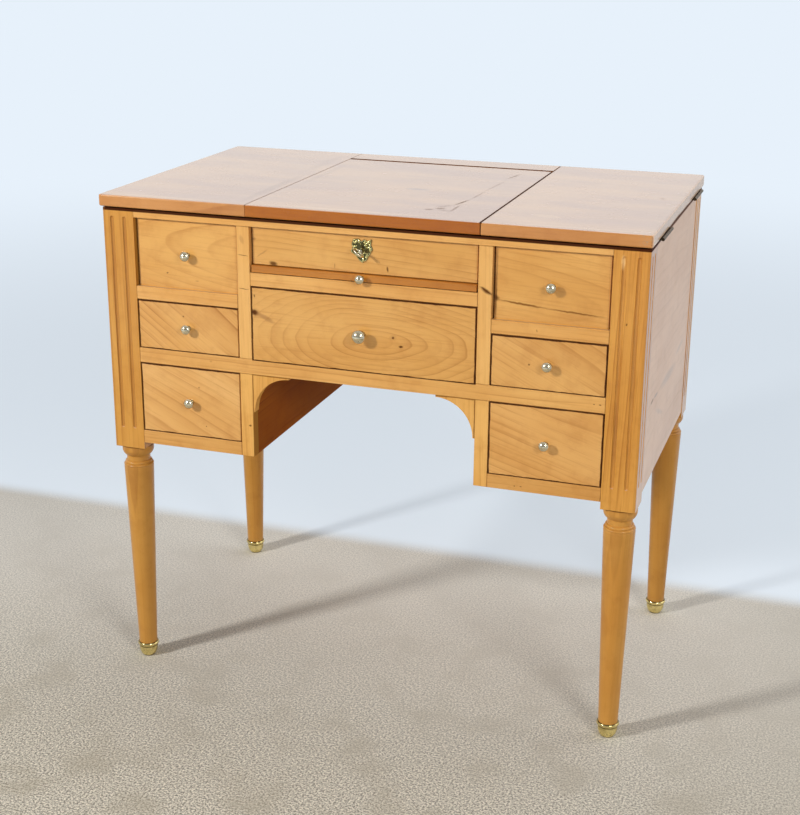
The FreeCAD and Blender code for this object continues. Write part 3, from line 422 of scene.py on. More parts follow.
def front_rims(node: str, faint_right: bool = False) -> tuple[Rim, ...]:
    """The painted shade of the gap round a drawer front, as a dark line on its front edges.

    Args:
        node: the node's name.
        faint_right: whether the line is thin and pale along the right edge.

    Returns:
        The line, in two parts where one edge is faint.
    """
    (left, face, bottom), (right, _, top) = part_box(node)
    back = face + RIM_BACK
    if not faint_right:
        return (Rim((left, right, bottom, top), back=back),)
    faint = Seam((None, right, None, None), width=FAINT_WIDTH, paired=False, back=back)
    return Rim((left, None, bottom, top), back=back), faint


def strip(node: str, axis: Facing, far: bool, width: float, depth: float = 0.85, **look: object) -> Band:
    """A band along one edge of a node.

    Args:
        node: the node's name.
        axis: the axis across the edge.
        far: whether it is the right, back or top edge.
        width: its width.
        depth: how strong it is.
        look: the rest of the band's values.

    Returns:
        The band.
    """
    low, high = (corner[axis.value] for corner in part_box(node))
    if far:
        return Band(axis, high - width, high + CLEAR, depth, **look)
    return Band(axis, low - CLEAR, low + width, depth, **look)


@dataclass(frozen=True)
class Tones:
    """The colours of a wood: its pale and warm early growth and its dark late growth."""

    pale: Colour
    warm: Colour
    dark: Colour

    def times(self, red: float, green: float, blue: float) -> "Tones":
        """The same wood under another stain, as factors on its colours."""
        return Tones(*(tuple(part * factor for part, factor in zip(tone, (red, green, blue)))
                       for tone in (self.pale, self.warm, self.dark)))


HONEY = Tones((0.772, 0.423, 0.126), (0.690, 0.345, 0.087), (0.430, 0.162, 0.028))


@dataclass(frozen=True)
class Timber:
    """Polished pale wood: the growth rings round a trunk's middle line, cut by the board's own place."""

    name: str
    heart: Place
    run: Run = Run.ACROSS
    slant: Place = (0.0, 0.0, 0.0)
    stretch: float = 0.06
    ring: float = 0.009
    sway: float = 0.016
    tones: Tones = HONEY
    contrast: float = 0.45
    rough: float = 0.32
    gloss: float = 0.5
    shine: float = 0.15
    relief: float = 0.2
    fibre: float = 0.26
    # The pale colour of the painted sheen on upward faces and outer sides, or None for no sheen.
    bleached: Colour | None = None
    bleached_from: float = 0.3585
    outer_side: float = 0.386
    plain_below: float | None = None
    stains: tuple[Stain, ...] = ()

    def material(self) -> bpy.types.Material:
        """The wood as a material.

        Returns:
            The material.
        """
        graph = Graph(bpy.data.materials.new(self.name))
        apart = graph.vector_sum("SUBTRACT", graph.place, self.heart)
        level = graph.turned(graph.turned(apart, turn=self.slant), turn=self.run.value)
        drift = graph.noise(level, DRIFT, "Color")
        contrast, fibres = self.strengths(graph)
        rings = graph.product(self.rings(graph, level, drift), graph.patches(level, PATCHES, contrast))
        cloud = graph.noise(level, CLOUDS)
        fibre = graph.noise(level, FIBRES)
        tone = graph.mix(graph.shown(cloud, CLOUDS), self.tones.pale, self.tones.warm)
        for share in (rings, graph.product(graph.shown(fibre, FIBRES), fibres),
                      graph.patches(level, PORES, PORE_DARK), graph.patches(graph.place, FOG, FOG_DARK)):
            tone = graph.mix(share, tone, self.tones.dark)
        if self.bleached:
            tone = self.bleach(graph, tone, rings, cloud)
        tone, dirt_and_shade = self.stain(graph, drift, tone)
        worn = graph.sum("MULTIPLY_ADD", graph.noise(level, WEAR), WORN, self.rough - WORN / 2)
        graph.shade({
            "Base Color": tone,
            "Roughness": graph.sum("MAXIMUM", worn, dirt_and_shade),
            "Coat Weight": graph.sum("MULTIPLY_ADD", dirt_and_shade, -self.gloss, self.gloss),
            "Coat Roughness": COAT_ROUGH,
            "Specular IOR Level": self.shine,
            "Normal": graph.bump(fibre, self.relief, FIBRE_HEIGHT),
        })
        return graph.owner

    def rings(self, graph: Graph, level: Socket, drift: Socket) -> Socket:
        """The late growth of each ring.

        Args:
            graph: the node tree.
            level: the place, with the trunk along X.
            drift: a slow noise that bends the rings.

        Returns:
            How dark it is.
        """
        bent = graph.swayed(graph.turned(level, scale=(self.stretch, 1.0, 1.0)), drift, self.sway)
        count = graph.sum("DIVIDE", graph.vector_sum("LENGTH", bent), self.ring)
        ring = graph.sum("FRACT", count)
        late, line = (graph.product(graph.band(ring, start, whole), graph.band(ring, 1.0, end))
                      for start, whole, end in (LATE_GROWTH, RING_LINE))
        dark = graph.sum("MULTIPLY_ADD", late, LATE_DARK, graph.product(line, LINE_DARK))
        weight = graph.sum("MULTIPLY_ADD", graph.chance(count), 1.0 - FAINTEST_RING, FAINTEST_RING)
        return graph.product(dark, weight)

    def strengths(self, graph: Graph) -> tuple[Number, Number]:
        """How strongly the grain shows, which is less on a turned leg under its square post.

        Args:
            graph: the node tree.

        Returns:
            The strength of the rings and of the fibres.
        """
        if self.plain_below is None:
            return self.contrast, self.fibre
        height = graph.split(graph.place)[Facing.TOP.value]
        square = graph.band(height, self.plain_below - LEG_BLEND, self.plain_below + LEG_BLEND)
        part = graph.sum("MULTIPLY_ADD", square, 1.0 - LEG_SHARE, LEG_SHARE)
        return graph.product(part, self.contrast), graph.product(part, self.fibre)

    def bleach(self, graph: Graph, tone: Socket, rings: Socket, cloud: Socket) -> Socket:
        """Paint the upward face and the outer sides pale, down to the legs: a painted sheen for the polish's
        reflection of the bright room.

        Args:
            graph: the node tree.
            tone: the wood's colour.
            rings: how strong the rings are.
            cloud: the slow change of tone along the board.

        Returns:
            The colour.
        """
        sideways, _, upward = graph.split(graph.node("TexCoord", "Normal"))
        across, _, height = graph.split(graph.place)
        outside = graph.band(graph.sum("ABSOLUTE", across), self.outer_side - SHEEN_EDGE, self.outer_side)
        side = graph.product(graph.sum("ABSOLUTE", sideways), outside)
        pale = graph.product(graph.band(graph.sum("MAXIMUM", upward, side), *PALE_FACING),
                             graph.band(height, self.bleached_from, self.bleached_from + SHEEN_EDGE))
        dull = tuple(part * factor for part, factor in zip(self.bleached, DULLED))
        faint = graph.mix(graph.band(cloud, *PALE_CLOUDS), self.bleached, dull)
        faint = graph.mix(graph.product(rings, PALE_RING_SHARE), faint, PALE_RING)
        return graph.mix(graph.product(pale, SHEEN_SHARE), tone, faint)

    def stain(self, graph: Graph, drift: Socket, tone: Socket) -> tuple[Socket, Number]:
        """Lay the knots, cracks, dirt and painted shade over the wood.

        Args:
            graph: the node tree.
            drift: a slow noise that bends the marks.
            tone: the wood's colour.

        Returns:
            The colour, and how strongly dirt and painted shade dull each place.
        """
        dirt_and_shade = 0.0
        wobble = graph.noise(graph.place, WOBBLE, "Color")
        bent = graph.swayed(graph.swayed(graph.place, drift, DRIFT_REACH), wobble, WOBBLE_REACH)
        for stain in self.stains:
            share = stain.stain(graph, bent if isinstance(stain, Mark) else graph.place)
            tone = graph.mix(share, tone, stain.tone)
            if max(stain.tone) < DIRT_AND_SHADE_BELOW:
                dirt_and_shade = graph.sum("MAXIMUM", dirt_and_shade, share)
        return tone, dirt_and_shade


@dataclass(frozen=True)
class Metal:
    """Worn metal: a clean tone, a tarnished tone and fine scratches."""

    name: str
    clean: Colour
    tarnish: Colour
    rough: float = 0.22
    stained: float = 0.5
    # Dark bands: patina in a plate's hollows, and painted shade on the feet.
    dirt_and_shade: tuple[Band, ...] = ()

    def material(self) -> bpy.types.Material:
        """The metal as a material.

        Returns:
            The material.
        """
        graph = Graph(bpy.data.materials.new(self.name))
        cloud = graph.noise(graph.place, TARNISH)
        tone = graph.mix(graph.product(graph.shown(cloud, TARNISH), self.stained), self.clean, self.tarnish)
        tone = graph.mix(graph.patches(graph.place, SPECKS, SPECK_SHARE), tone, self.tarnish)
        for line in self.dirt_and_shade:
            tone = graph.mix(line.stain(graph, graph.place), tone, line.tone)
        rough = graph.sum("MULTIPLY_ADD", cloud, CLOUD_ROUGH, self.rough - CLOUD_ROUGH / 2)
        scratches = graph.bump(graph.noise(graph.place, SCRATCHES), SCRATCHED, SCRATCH_HEIGHT)
        graph.shade({"Base Color": tone, "Metallic": 1.0, "Roughness": rough, "Normal": scratches})
        return graph.owner


@dataclass(frozen=True)
class MirrorGlass:
    """Old mirror glass: silver with a faint haze and a little foxing."""

    name: str = "old_mirror"
    silver: Colour = (0.86, 0.88, 0.88)
    spots: Colour = (0.35, 0.32, 0.28)
    rough: float = 0.03
    spots_rough: float = 0.3

    def material(self) -> bpy.types.Material:
        """The mirror as a material.

        Returns:
            The material.
        """
        graph = Graph(bpy.data.materials.new(self.name))
        fox = graph.patches(graph.place, FOXING)
        rough = graph.sum("MULTIPLY_ADD", fox, self.spots_rough, self.rough)
        tone = graph.mix(fox, self.silver, self.spots)
        graph.shade({"Base Color": tone, "Metallic": 1.0, "Roughness": rough})
        return graph.owner


@dataclass
class Dresser:
    """Gives the frame's nodes their finishes."""

    nodes: dict[str, bpy.types.Object]

    def dress(self, node: str, finish: Timber | Metal | MirrorGlass) -> None:
        """Give one CAD node its finish.

        Args:
            node: the node's name.
            finish: what it is made of.
        """
        material = finish.material()
        body = self.nodes[node]
        if not body.material_slots:
            body.data.materials.append(material)
        for slot in body.material_slots:
            slot.material = material
        log.info("%s: %s", node, finish.name)

    def wood(self, node: str, heart: Place, run: Run = Run.ACROSS, **look: object) -> None:
        """Dress one CAD node in a wood of its own, with a place on its trunk's middle line."""
        self.dress(node, Timber(node + "_wood", heart, run, **look))


@dataclass
class FrontFrame(Dresser):
    """The rails, muntins, brackets and posts that frame the drawers."""

    flute_tone: Colour = (0.30, 0.11, 0.020)
    # The pale colour of the painted sheen on the posts' tops and outer sides.
    post_side: Colour = (0.76, 0.475, 0.285)
    leg_top: float = 0.3575

    def under_top(self) -> Band:
        """The shade on rail and posts right under the top."""
        return strip("top_rail", Facing.TOP, True, 0.0039, 0.97)

    def dress_rails(self) -> None:
        """Dress the rails, with the grain across."""
        (_, y, _), (muntin, _, _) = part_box("upper_muntins")
        post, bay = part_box("front_right_post")[0][0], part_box("slide_rail")[1][0]
        rail = HONEY.times(1.04, 1.04, 1.06)
        ledge = Band(Facing.FRONT, y + 0.0006, y + 0.0162, 0.7, (0.52, 0.37, 0.19), 0.0003)
        joint = Mark((0.2480, y, 0.5990), 0.0012, 0.0026, 10.0, 0.7, AMBER)
        nails = (Mark((0.3290, y, 0.5060), 0.0016, 0.0011), Mark((0.3372, y, 0.5060), 0.0026, 0.0012),
                 Mark((-0.2300, y, 0.5075), 0.0030, 0.0016, 0.0, 0.35, AMBER))
        pins = (Mark((0.2245, y, 0.3758), 0.0014, 0.0012), Mark((0.2335, y, 0.3762), 0.0016, 0.0012))
        long_seam, short_seam = Seam((None, post, None, None)), Seam((muntin, post, None, None))
        rows = {
            "top_rail": (rail, (long_seam, self.under_top())),
            "upper_side_rails": (rail, (ledge, short_seam, joint)),
            "slide_rail": (rail, (Seam((None, bay, None, None)),)),
            "cross_rail": (rail.times(0.97, 0.97, 0.97), (long_seam, *nails)),
            "bottom_rails": (rail.times(0.87, 0.82, 0.76), (short_seam, *pins)),
        }
        for step, (node, (tones, stains)) in enumerate(rows.items()):
            self.wood(node, (0.1 - 0.07 * step, -0.15, 0.52 + 0.03 * step), slant=(0, -0.8, 0), tones=tones,
                      contrast=0.4, stains=stains)

    def dress_uprights(self) -> None:
        """Dress the muntins and brackets, with the grain upright."""
        (_, y, sill), (_, _, head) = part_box("upper_muntins")
        bay, _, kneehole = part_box("spandrels")[1]
        upright = partial(self.wood, run=Run.UPRIGHT)
        pale = HONEY.times(1.05, 1.07, 1.10)
        laps = (crack((-0.1845, y, z), (-0.1660, y, z - 0.001), 0.0009, 0.75, KNOT, Facing.FRONT)
                for z in (0.6680, 0.6200))
        upright("upper_muntins", (0.02, -0.19, 0.60), slant=(0, 1.0, 0), tones=pale, contrast=0.3, stains=(
            Seam((None, None, sill, head), width=0.0010),
            Mark((0.1765, y, 0.6465), 0.0125, 0.0040, -30.0, 0.85, (0.16, 0.065, 0.018)),
            crack((0.1655, y, 0.6535), (0.1870, y, 0.6405), 0.0018, 0.95, KNOT, Facing.FRONT),
            *laps,
            Mark((-0.1765, y, 0.6900), 0.0040, 0.0085, 20.0, 0.30, AMBER),
        ))
        # Painted shade on the lower muntins' inner faces, which look into the kneehole.
        inner = Band(Facing.SIDE, -bay - 0.0004, -bay + 0.0155, 0.9, (0.36, 0.16, 0.03), 0.0004)
        head_seam = Seam((None, None, None, kneehole), width=0.0010)
        upright("lower_muntins", (-0.05, -0.17, 0.45), slant=(0, 1.5, 0), tones=pale, contrast=0.3, gloss=0.0,
                shine=0.0, stains=(inner, head_seam, Mark((-0.1713, y, 0.417), 0.0030, 0.0022)))
        upright("spandrels", (0.10, -0.2, 0.46), contrast=0.4, gloss=0.0, shine=0.0,
                stains=(Seam((None, bay, None, kneehole), 0.75, width=0.0016),))

    def flutes(self, hand: int, depth: float) -> tuple[Band, Band]:
        """The shade in the flutes of a front post.

        Args:
            hand: -1 for the left post, 1 for the right one.
            depth: how dark it is.

        Returns:
            The bands of the front and the outer face.
        """
        (_, face, _), (side, _, _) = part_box("front_right_post")
        brink, bottom = 0.0006, 0.0037
        planes = sorted((hand * (side - brink), hand * (side - bottom)))
        return (Band(Facing.FRONT, face + brink, face + bottom, depth, self.flute_tone, 0.0003),
                Band(Facing.SIDE, *planes, depth, self.flute_tone, 0.0003))

    def dress_posts(self) -> None:
        """Dress the posts and their legs, each with its own grain."""
        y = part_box("front_right_post")[0][1]
        leg_shade = Band(Facing.TOP, -0.1, self.leg_top, 0.16, (0.20, 0.08, 0.015), 0.001)
        # Painted shade: a dark line in the crease under the square block, where the leg's collar begins.
        # Every post also gets the painted shade under the top.
        collar = Band(Facing.TOP, self.leg_top - 0.0015, self.leg_top + 0.0005, 0.75, KNOT_CORE_AND_SHADE, 0.0005)
        shade_bands = (self.under_top(), leg_shade, collar)
        post = partial(self.wood, run=Run.UPRIGHT, stretch=0.05, bleached=self.post_side,
                       plain_below=self.leg_top)
        left = HONEY.times(0.86, 0.77, 0.50)
        post("front_left_post", (-0.300, -0.170, 0.30), slant=(0, 0.9, 0), ring=0.014, sway=0.014, tones=left,
             contrast=0.4, stains=(*shade_bands, *self.flutes(-1, 0.34)))
        post("front_right_post", (0.420, -0.150, 0.40), slant=(0, -1.2, 0), ring=0.0065, sway=0.010,
             tones=HONEY.times(0.94, 0.84, 0.56), contrast=0.55, fibre=0.45, stains=(
                 Mark((0.3600, y, 0.470), 0.0030, 0.070, 0.0, 0.45, AMBER),
                 Mark((0.3800, y, 0.560), 0.0026, 0.110, 0.0, 0.35, AMBER),
                 *self.flutes(1, 0.22),
                 Mark((0.3580, y, 0.7010), 0.0034, 0.0130, 0.0, 0.75, (0.90, 0.58, 0.24)),
                 Mark((0.3664, y, 0.619), 0.0016, 0.0025),
                 *shade_bands))
        for hand, node in ((-1, "back_left_post"), (1, "back_right_post")):
            post(node, (hand * 0.30, 0.27, 0.30), slant=(0, 1.0, 0), ring=0.014, sway=0.014,
                 tones=left.times(0.92, 0.92, 0.86), contrast=0.4, stains=shade_bands)


@dataclass
class Fronts(Dresser):
    """The drawer fronts and the boards that look like them, each cut from its own plank."""

    def dress_fixed(self) -> None:
        """Dress the false fronts and the fixed board over the slide."""
        (_, y, _), (post, _, rail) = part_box("false_fronts")
        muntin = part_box("upper_muntins")[1][0]
        split = partial(crack, tone=SEAM_AND_SHADOW, facing=Facing.FRONT)
        self.wood("false_fronts", (0.05, -0.19, 0.655), slant=(0, -4.0, 0), stretch=0.16,
                  tones=HONEY.times(0.98, 0.975, 0.93), contrast=0.32, stains=(
                      # Painted shadow of the post down the left false front's left edge, and painted shade in
                      # the lines round both recessed false fronts.
                      Band(Facing.SIDE, -post - 0.0001, -post + 0.0040, 0.55, (0.18, 0.065, 0.014), 0.0016),
                      Rim((muntin, post, None, rail), 0.85, (0.10, 0.034, 0.005), 0.0015, True),
                      Mark((-0.2961, y, 0.6318), 0.0020, 0.0014),
                      Mark((-0.2500, y, 0.6235), 0.0040, 0.0014, 0.0, 0.4, AMBER),
                      split((0.1850, y, 0.6360), (0.2650, y, 0.6285), 0.0020, 0.85),
                      split((0.2500, y, 0.6295), (0.3440, y, 0.6235), 0.0017, 0.80),
                      # A painted shadow of the muntin down the right false front's left edge.
                      Mark((0.1885, y, 0.6400), 0.0028, 0.0400, 0.0, 0.65, SEAM_AND_SHADOW),
                      Mark((0.1890, y, 0.6380), 0.0070, 0.0050, -20.0, 0.80),
                  ))
        (left, y, _), (right, _, top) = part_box("centre_fixed_front")
        self.wood("centre_fixed_front", (-0.06, -0.205, 0.630), slant=(0, -2.5, 0), stretch=0.10, ring=0.008,
                  tones=HONEY.times(0.95, 0.95, 0.92), stains=(
                      # Painted shade in the gaps at the fixed board's sides and top.
                      Rim((left, right, None, top), 0.9, width=0.0012),
                      Mark((-0.1322, y, 0.6570), 0.0085, 0.0045, -8.0, 0.9),
                      Mark((-0.1608, y, 0.6900), 0.0045, 0.0030, 0.0, 0.6, AMBER),
                      Mark((-0.1490, y, 0.6700), 0.0140, 0.0016, 35.0, 0.4, AMBER),
                      Mark((-0.0408, y, 0.6620), 0.0014, 0.0055, 0.0, 0.55, AMBER),
                      Mark((0.0359, y, 0.6640), 0.0020, 0.0055),
                      # Painted shade: the dark of the keyhole, on the board behind the plate's hole.
                      Mark((0.0, y, 0.6855), 0.0034, 0.0056, 0.0, 1.0, PAINTED_SHADE),
                      Mark((0.0, y, 0.7000), 0.0100, 0.0012, 20.0, 0.35, AMBER),
                  ))

    def dress_moving(self) -> None:
        """Dress the five drawer fronts and the writing slide."""
        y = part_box("centre_drawer_front")[0][1]
        knots = (
            Mark((-0.1590, y, 0.5857), 0.0100, 0.0075, -12.0, 0.45, AMBER),
            Mark((-0.1600, y, 0.5857), 0.0072, 0.0052, -12.0, 0.95, KNOT_CORE_AND_SHADE),
            Mark((-0.1440, y, 0.5795), 0.0200, 0.0050, -24.0, 0.55, AMBER),
            Mark((-0.1600, y, 0.6100), 0.0016, 0.0030, 0.0, 0.8),
            Mark((0.0466, y, 0.5695), 0.0027, 0.0030, 0.0, 0.95, KNOT_CORE_AND_SHADE),
            Mark((0.0466, y, 0.5695), 0.0075, 0.0060, 0.0, 0.25, AMBER),
            Mark((0.0582, y, 0.5579), 0.0044, 0.0022, 0.0, 0.95, KNOT_CORE_AND_SHADE),
        )
        low_flecks = (Mark((-0.2510, y, 0.4650), 0.0026, 0.0018, 0.0, 0.6, AMBER),
                      Mark((-0.2400, y, 0.4060), 0.0014, 0.0014))
        # The trunk's middle, lean, stretch, ring, sway, factors on honey, contrast and marks.
        rows = {
            "centre": ((0.028, -0.214, 0.56), 0.0, 0.34, 0.0064, 0.034, (0.95, 0.94, 0.90), 0.50, knots),
            "left_middle": ((-0.30, -0.15, 0.62), -37.0, 0.10, 0.0056, 0.010, (0.97, 0.96, 0.98), 0.75,
                            (Mark((-0.2712, y, 0.5692), 0.0019, 0.0019),)),
            "right_middle": ((0.22, -0.16, 0.60), -27.0, 0.10, 0.0075, 0.014, (0.97, 0.96, 0.99), 0.55,
                             (Mark((0.2390, y, 0.5515), 0.0020, 0.0018),)),
            "left_bottom": ((-0.34, -0.15, 0.40), -24.0, 0.10, 0.0085, 0.016, (1.02, 1.06, 1.25), 0.45,
                            low_flecks),
            "right_bottom": ((0.30, -0.17, 0.50), -17.0, 0.10, 0.0085, 0.016, (0.97, 0.95, 1.0), 0.45, ()),
        }
        for name, (heart, lean, stretch, ring, sway, factors, contrast, marks) in rows.items():
            node = name + "_drawer_front"
            self.wood(node, heart, slant=(0, lean, 0), stretch=stretch, ring=ring, sway=sway,
                      tones=HONEY.times(*factors), contrast=contrast,
                      stains=(*marks, *front_rims(node, faint_right=name.startswith("left"))))
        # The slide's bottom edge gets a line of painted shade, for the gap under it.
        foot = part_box("writing_slide_board")[0][2]
        self.wood("writing_slide_board", (0.05, -0.1, 0.60), tones=HONEY.times(0.68, 0.48, 0.23),
                  contrast=0.4, stains=(Rim((None, None, foot, None), 0.8, width=0.0009),))


@dataclass
class TopBoards(Dresser):
    """The lid, the flaps and the strip behind the lid, with a painted sheen on their upper faces for the
    polish's reflection.
    """

    # The pale colour of the painted sheen on the upper faces.
    bleached: Colour = (0.735, 0.505, 0.360)
    edge: Tones = HONEY.times(0.80, 0.67, 0.69)
    lid_edge: Tones = HONEY.times(0.57, 0.315, 0.05)
    sandy: Colour = (0.86, 0.55, 0.32)
    # cream paints paler strips along the boards' front edges, a painted highlight on the rounded edge, and a
    # patch of painted sheen.
    cream: Colour = (0.90, 0.64, 0.42)
    # violet paints darker strips beside the joint of the lid and the left flap: painted shade.
    violet: Colour = (0.34, 0.215, 0.18)
    worn: Colour = (0.20, 0.15, 0.12)

    def board(self, node: str, heart: Place, tones: Tones, *stains: Stain) -> None:
        """Dress one board of the top, with the colours of its edges and its knots and dirt."""
        self.wood(node, heart, slant=(0, 0, 2.0), stretch=0.05, ring=0.011, sway=0.012, tones=tones,
                  contrast=0.35, rough=0.26, gloss=0.9, relief=0.02, fibre=0.20, bleached=self.bleached,
                  stains=stains)

    def dress_all(self) -> None:
        """Dress the four boards, and the mirror with its beads under the lid."""
        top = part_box("lid_board")[1][2]
        # gap paints shade on the upper edges beside each gap between the boards: painted shade that widens
        # the dark of the gap.
        gap = partial(strip, above=top - 0.0015)
        flat = partial(Mark, facing=Facing.TOP)
        # Each line of the worn pattern on the lid: from, to, half its width and its depth.
        lines = ((0.130, 0.150, 0.118, 0.090, 0.0022, 0.70), (0.122, 0.090, 0.113, -0.030, 0.0020, 0.40),
                 (0.116, -0.010, 0.112, -0.090, 0.0018, 0.55), (0.113, -0.080, 0.102, -0.136, 0.0030, 0.80),
                 (0.111, -0.120, 0.110, -0.185, 0.0024, 0.60), (0.105, -0.133, 0.080, -0.150, 0.0030, 0.70))
        self.board(
            "lid_board", (0.05, 0.02, 0.68), self.lid_edge,
            flat((0.0174, -0.034, top), 0.026, 0.010, 0.0, 0.6, (0.34, 0.27, 0.29)),
            *(crack((*line[:2], top), (*line[2:4], top), *line[4:], self.worn) for line in lines),
            flat((0.0920, -0.1600, top), 0.0100, 0.0080, 15.0, 0.6, self.worn),
            flat((0.0790, -0.1720, top), 0.0100, 0.0040, 12.0, 0.7, self.worn),
            flat((0.1010, -0.1720, top), 0.0160, 0.0030, -10.0, 0.5, self.worn),
            # A painted highlight along the lid's front edge.
            flat((-0.03, -0.2180, top), 0.150, 0.010, 0.0, 0.45, self.cream),
            # Painted shade beside the joint with the left flap.
            flat((-0.155, 0.04, top), 0.150, 0.008, 90.0, 0.25, self.violet),
            Mark((0.145, -0.2250, 0.7270), 0.012, 0.0030, 0.0, 0.8, (0.10, 0.030, 0.008)),
            gap("lid_board", Facing.SIDE, True, 0.0011),
            gap("lid_board", Facing.SIDE, False, 0.0007, 0.6, tone=KNOT_CORE_AND_SHADE),
            gap("lid_board", Facing.FRONT, True, 0.0012))
        self.board(
            "left_flap_board", (-0.30, 0.05, 0.67), self.edge,
            gap("left_flap_board", Facing.SIDE, True, 0.0007, 0.55, tone=KNOT_CORE_AND_SHADE),
            strip("left_flap_board", Facing.SIDE, False, 0.0004, tone=self.sandy, soft=0.0003),
            # Painted shade beside the joint with the lid.
            flat((-0.182, -0.10, top), 0.150, 0.010, 90.0, 0.45, self.violet),
            flat((-0.190, 0.13, top), 0.110, 0.012, 90.0, 0.25, self.violet),
            # A painted highlight along the left flap's front edge.
            flat((-0.290, -0.2200, top), 0.100, 0.008, 0.0, 0.35, self.cream))
        self.board(
            "right_flap_board", (0.27, 0.08, 0.67), self.edge,
            gap("right_flap_board", Facing.SIDE, False, 0.0009),
            strip("right_flap_board", Facing.SIDE, True, 0.0004, tone=self.sandy, soft=0.0003),
            strip("right_flap_board", Facing.SIDE, True, 0.0150, 0.50, tone=(0.36, 0.29, 0.19), soft=0.006,
                  speckled=True),
            # Painted shade along the lower edge of the flap's outer side, over the gap at the hinges.
            Mark((0.3950, 0.0058, 0.7228), 0.2500, 0.0050, 0.0, 1.0, PAINTED_SHADE, Facing.SIDE, 0.0040),
            flat((0.366, 0.019, top), 0.005, 0.003, 0.0, 0.7, SLATE),
            # A painted highlight along the front edge, and a patch of painted sheen.
            flat((0.290, -0.2200, top), 0.100, 0.009, 0.0, 0.35, self.cream),
            flat((0.240, -0.160, top), 0.030, 0.014, -20.0, 0.35, self.cream))
        self.board("back_strip", (0.02, 0.21, 0.68), self.edge,
                   gap("back_strip", Facing.FRONT, False, 0.0009))
        self.dress("lid_mirror", MirrorGlass())
        self.wood("mirror_beads", (0.05, 0.0, 0.68), tones=self.edge)


@dataclass
class Panels(Dresser):
    """The sides, the backs and the boards inside."""

    # The sides' paler, greyer honey is a painted reflection of the bright room on their polish.
    side: Tones = Tones((0.78, 0.51, 0.33), (0.71, 0.44, 0.27), (0.50, 0.27, 0.14))
    plain: Tones = Tones((0.72, 0.44, 0.20), (0.62, 0.36, 0.14), (0.38, 0.18, 0.06))
    shaded: Tones = HONEY.times(0.41, 0.215, 0.05)
    grey: Colour = (0.30, 0.26, 0.26)

    def dress_sides(self) -> None:
        """Dress the side panels, with the scuffs on the right one, and the partitions."""
        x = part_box("right_side_panel")[1][0]
        scratch, scuff = partial(crack, facing=Facing.SIDE), partial(Mark, tone=self.grey, facing=Facing.SIDE)
        scuffs = (
            scratch((x, -0.1480, 0.4870), (x, -0.1150, 0.4885), 0.0042, 0.70, (0.20, 0.15, 0.13)),
            scratch((x, -0.1200, 0.4890), (x, -0.0800, 0.4860), 0.0030, 0.55, (0.24, 0.19, 0.18)),
            scuff((x, 0.0100, 0.4830), 0.0900, 0.0120, -3.0, 0.30),
            scuff((x, 0.1150, 0.4980), 0.0500, 0.0060, 4.0, 0.25),
            scuff((x, -0.0600, 0.4500), 0.0500, 0.0050, -20.0, 0.22),
        )
        for hand, name, stains in ((-1, "left", ()), (1, "right", scuffs)):
            panel = name + "_side_panel"
            # Painted shade on each side panel just under the top.
            under_top = strip(panel, Facing.TOP, True, 0.0050, 0.9, soft=0.0010)
            self.wood(panel, (hand * 0.36, 0.08, 0.40), Run.DEEP, slant=(2, 0, 0), stretch=0.12, ring=0.013,
                      sway=0.03, tones=self.side, contrast=0.22, rough=0.34, gloss=0.4, relief=0.03,
                      stains=(under_top, *stains))
            self.wood(name + "_partition", (hand * 0.12, 0.0, 0.40), Run.DEEP, tones=self.shaded,
                      contrast=0.5, rough=0.7, gloss=0.0, shine=0.05)

    def dress_backs(self) -> None:
        """Dress the three back panels, with a thin dark line round each."""
        for step, name in enumerate(("left", "centre", "right")):
            node = name + "_back_panel"
            (left, _, bottom), (right, _, top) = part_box(node)
            rim = Seam((left, right, bottom, top), 0.8, width=0.0012, paired=False)
            # Each back panel gets painted shade just under the top, and a dark seam round it.
            self.wood(node, (0.1 - 0.15 * step, 0.20, 0.50 + 0.04 * step), stretch=0.12, ring=0.012,
                      sway=0.03, tones=self.plain, contrast=0.55, rough=0.55, gloss=0.0,
                      stains=(strip(node, Facing.TOP, True, 0.0029, 0.8), rim))

    def dress_inside(self) -> None:
        """Dress the floors, bearers, guides and drawer boxes."""
        boxes = [name + "_drawer_box" for name in
                 ("left_middle", "left_bottom", "right_middle", "right_bottom", "centre")]
        inside = ["side_well_floors", "mirror_well_floor", "drawer_bearers", "drawer_guides", *boxes]
        for step, node in enumerate(inside):
            self.wood(node, (0.03 * step, 0.0, 0.35 + 0.02 * step), Run.DEEP, tones=self.plain, contrast=0.5,
                      rough=0.6, gloss=0.0)


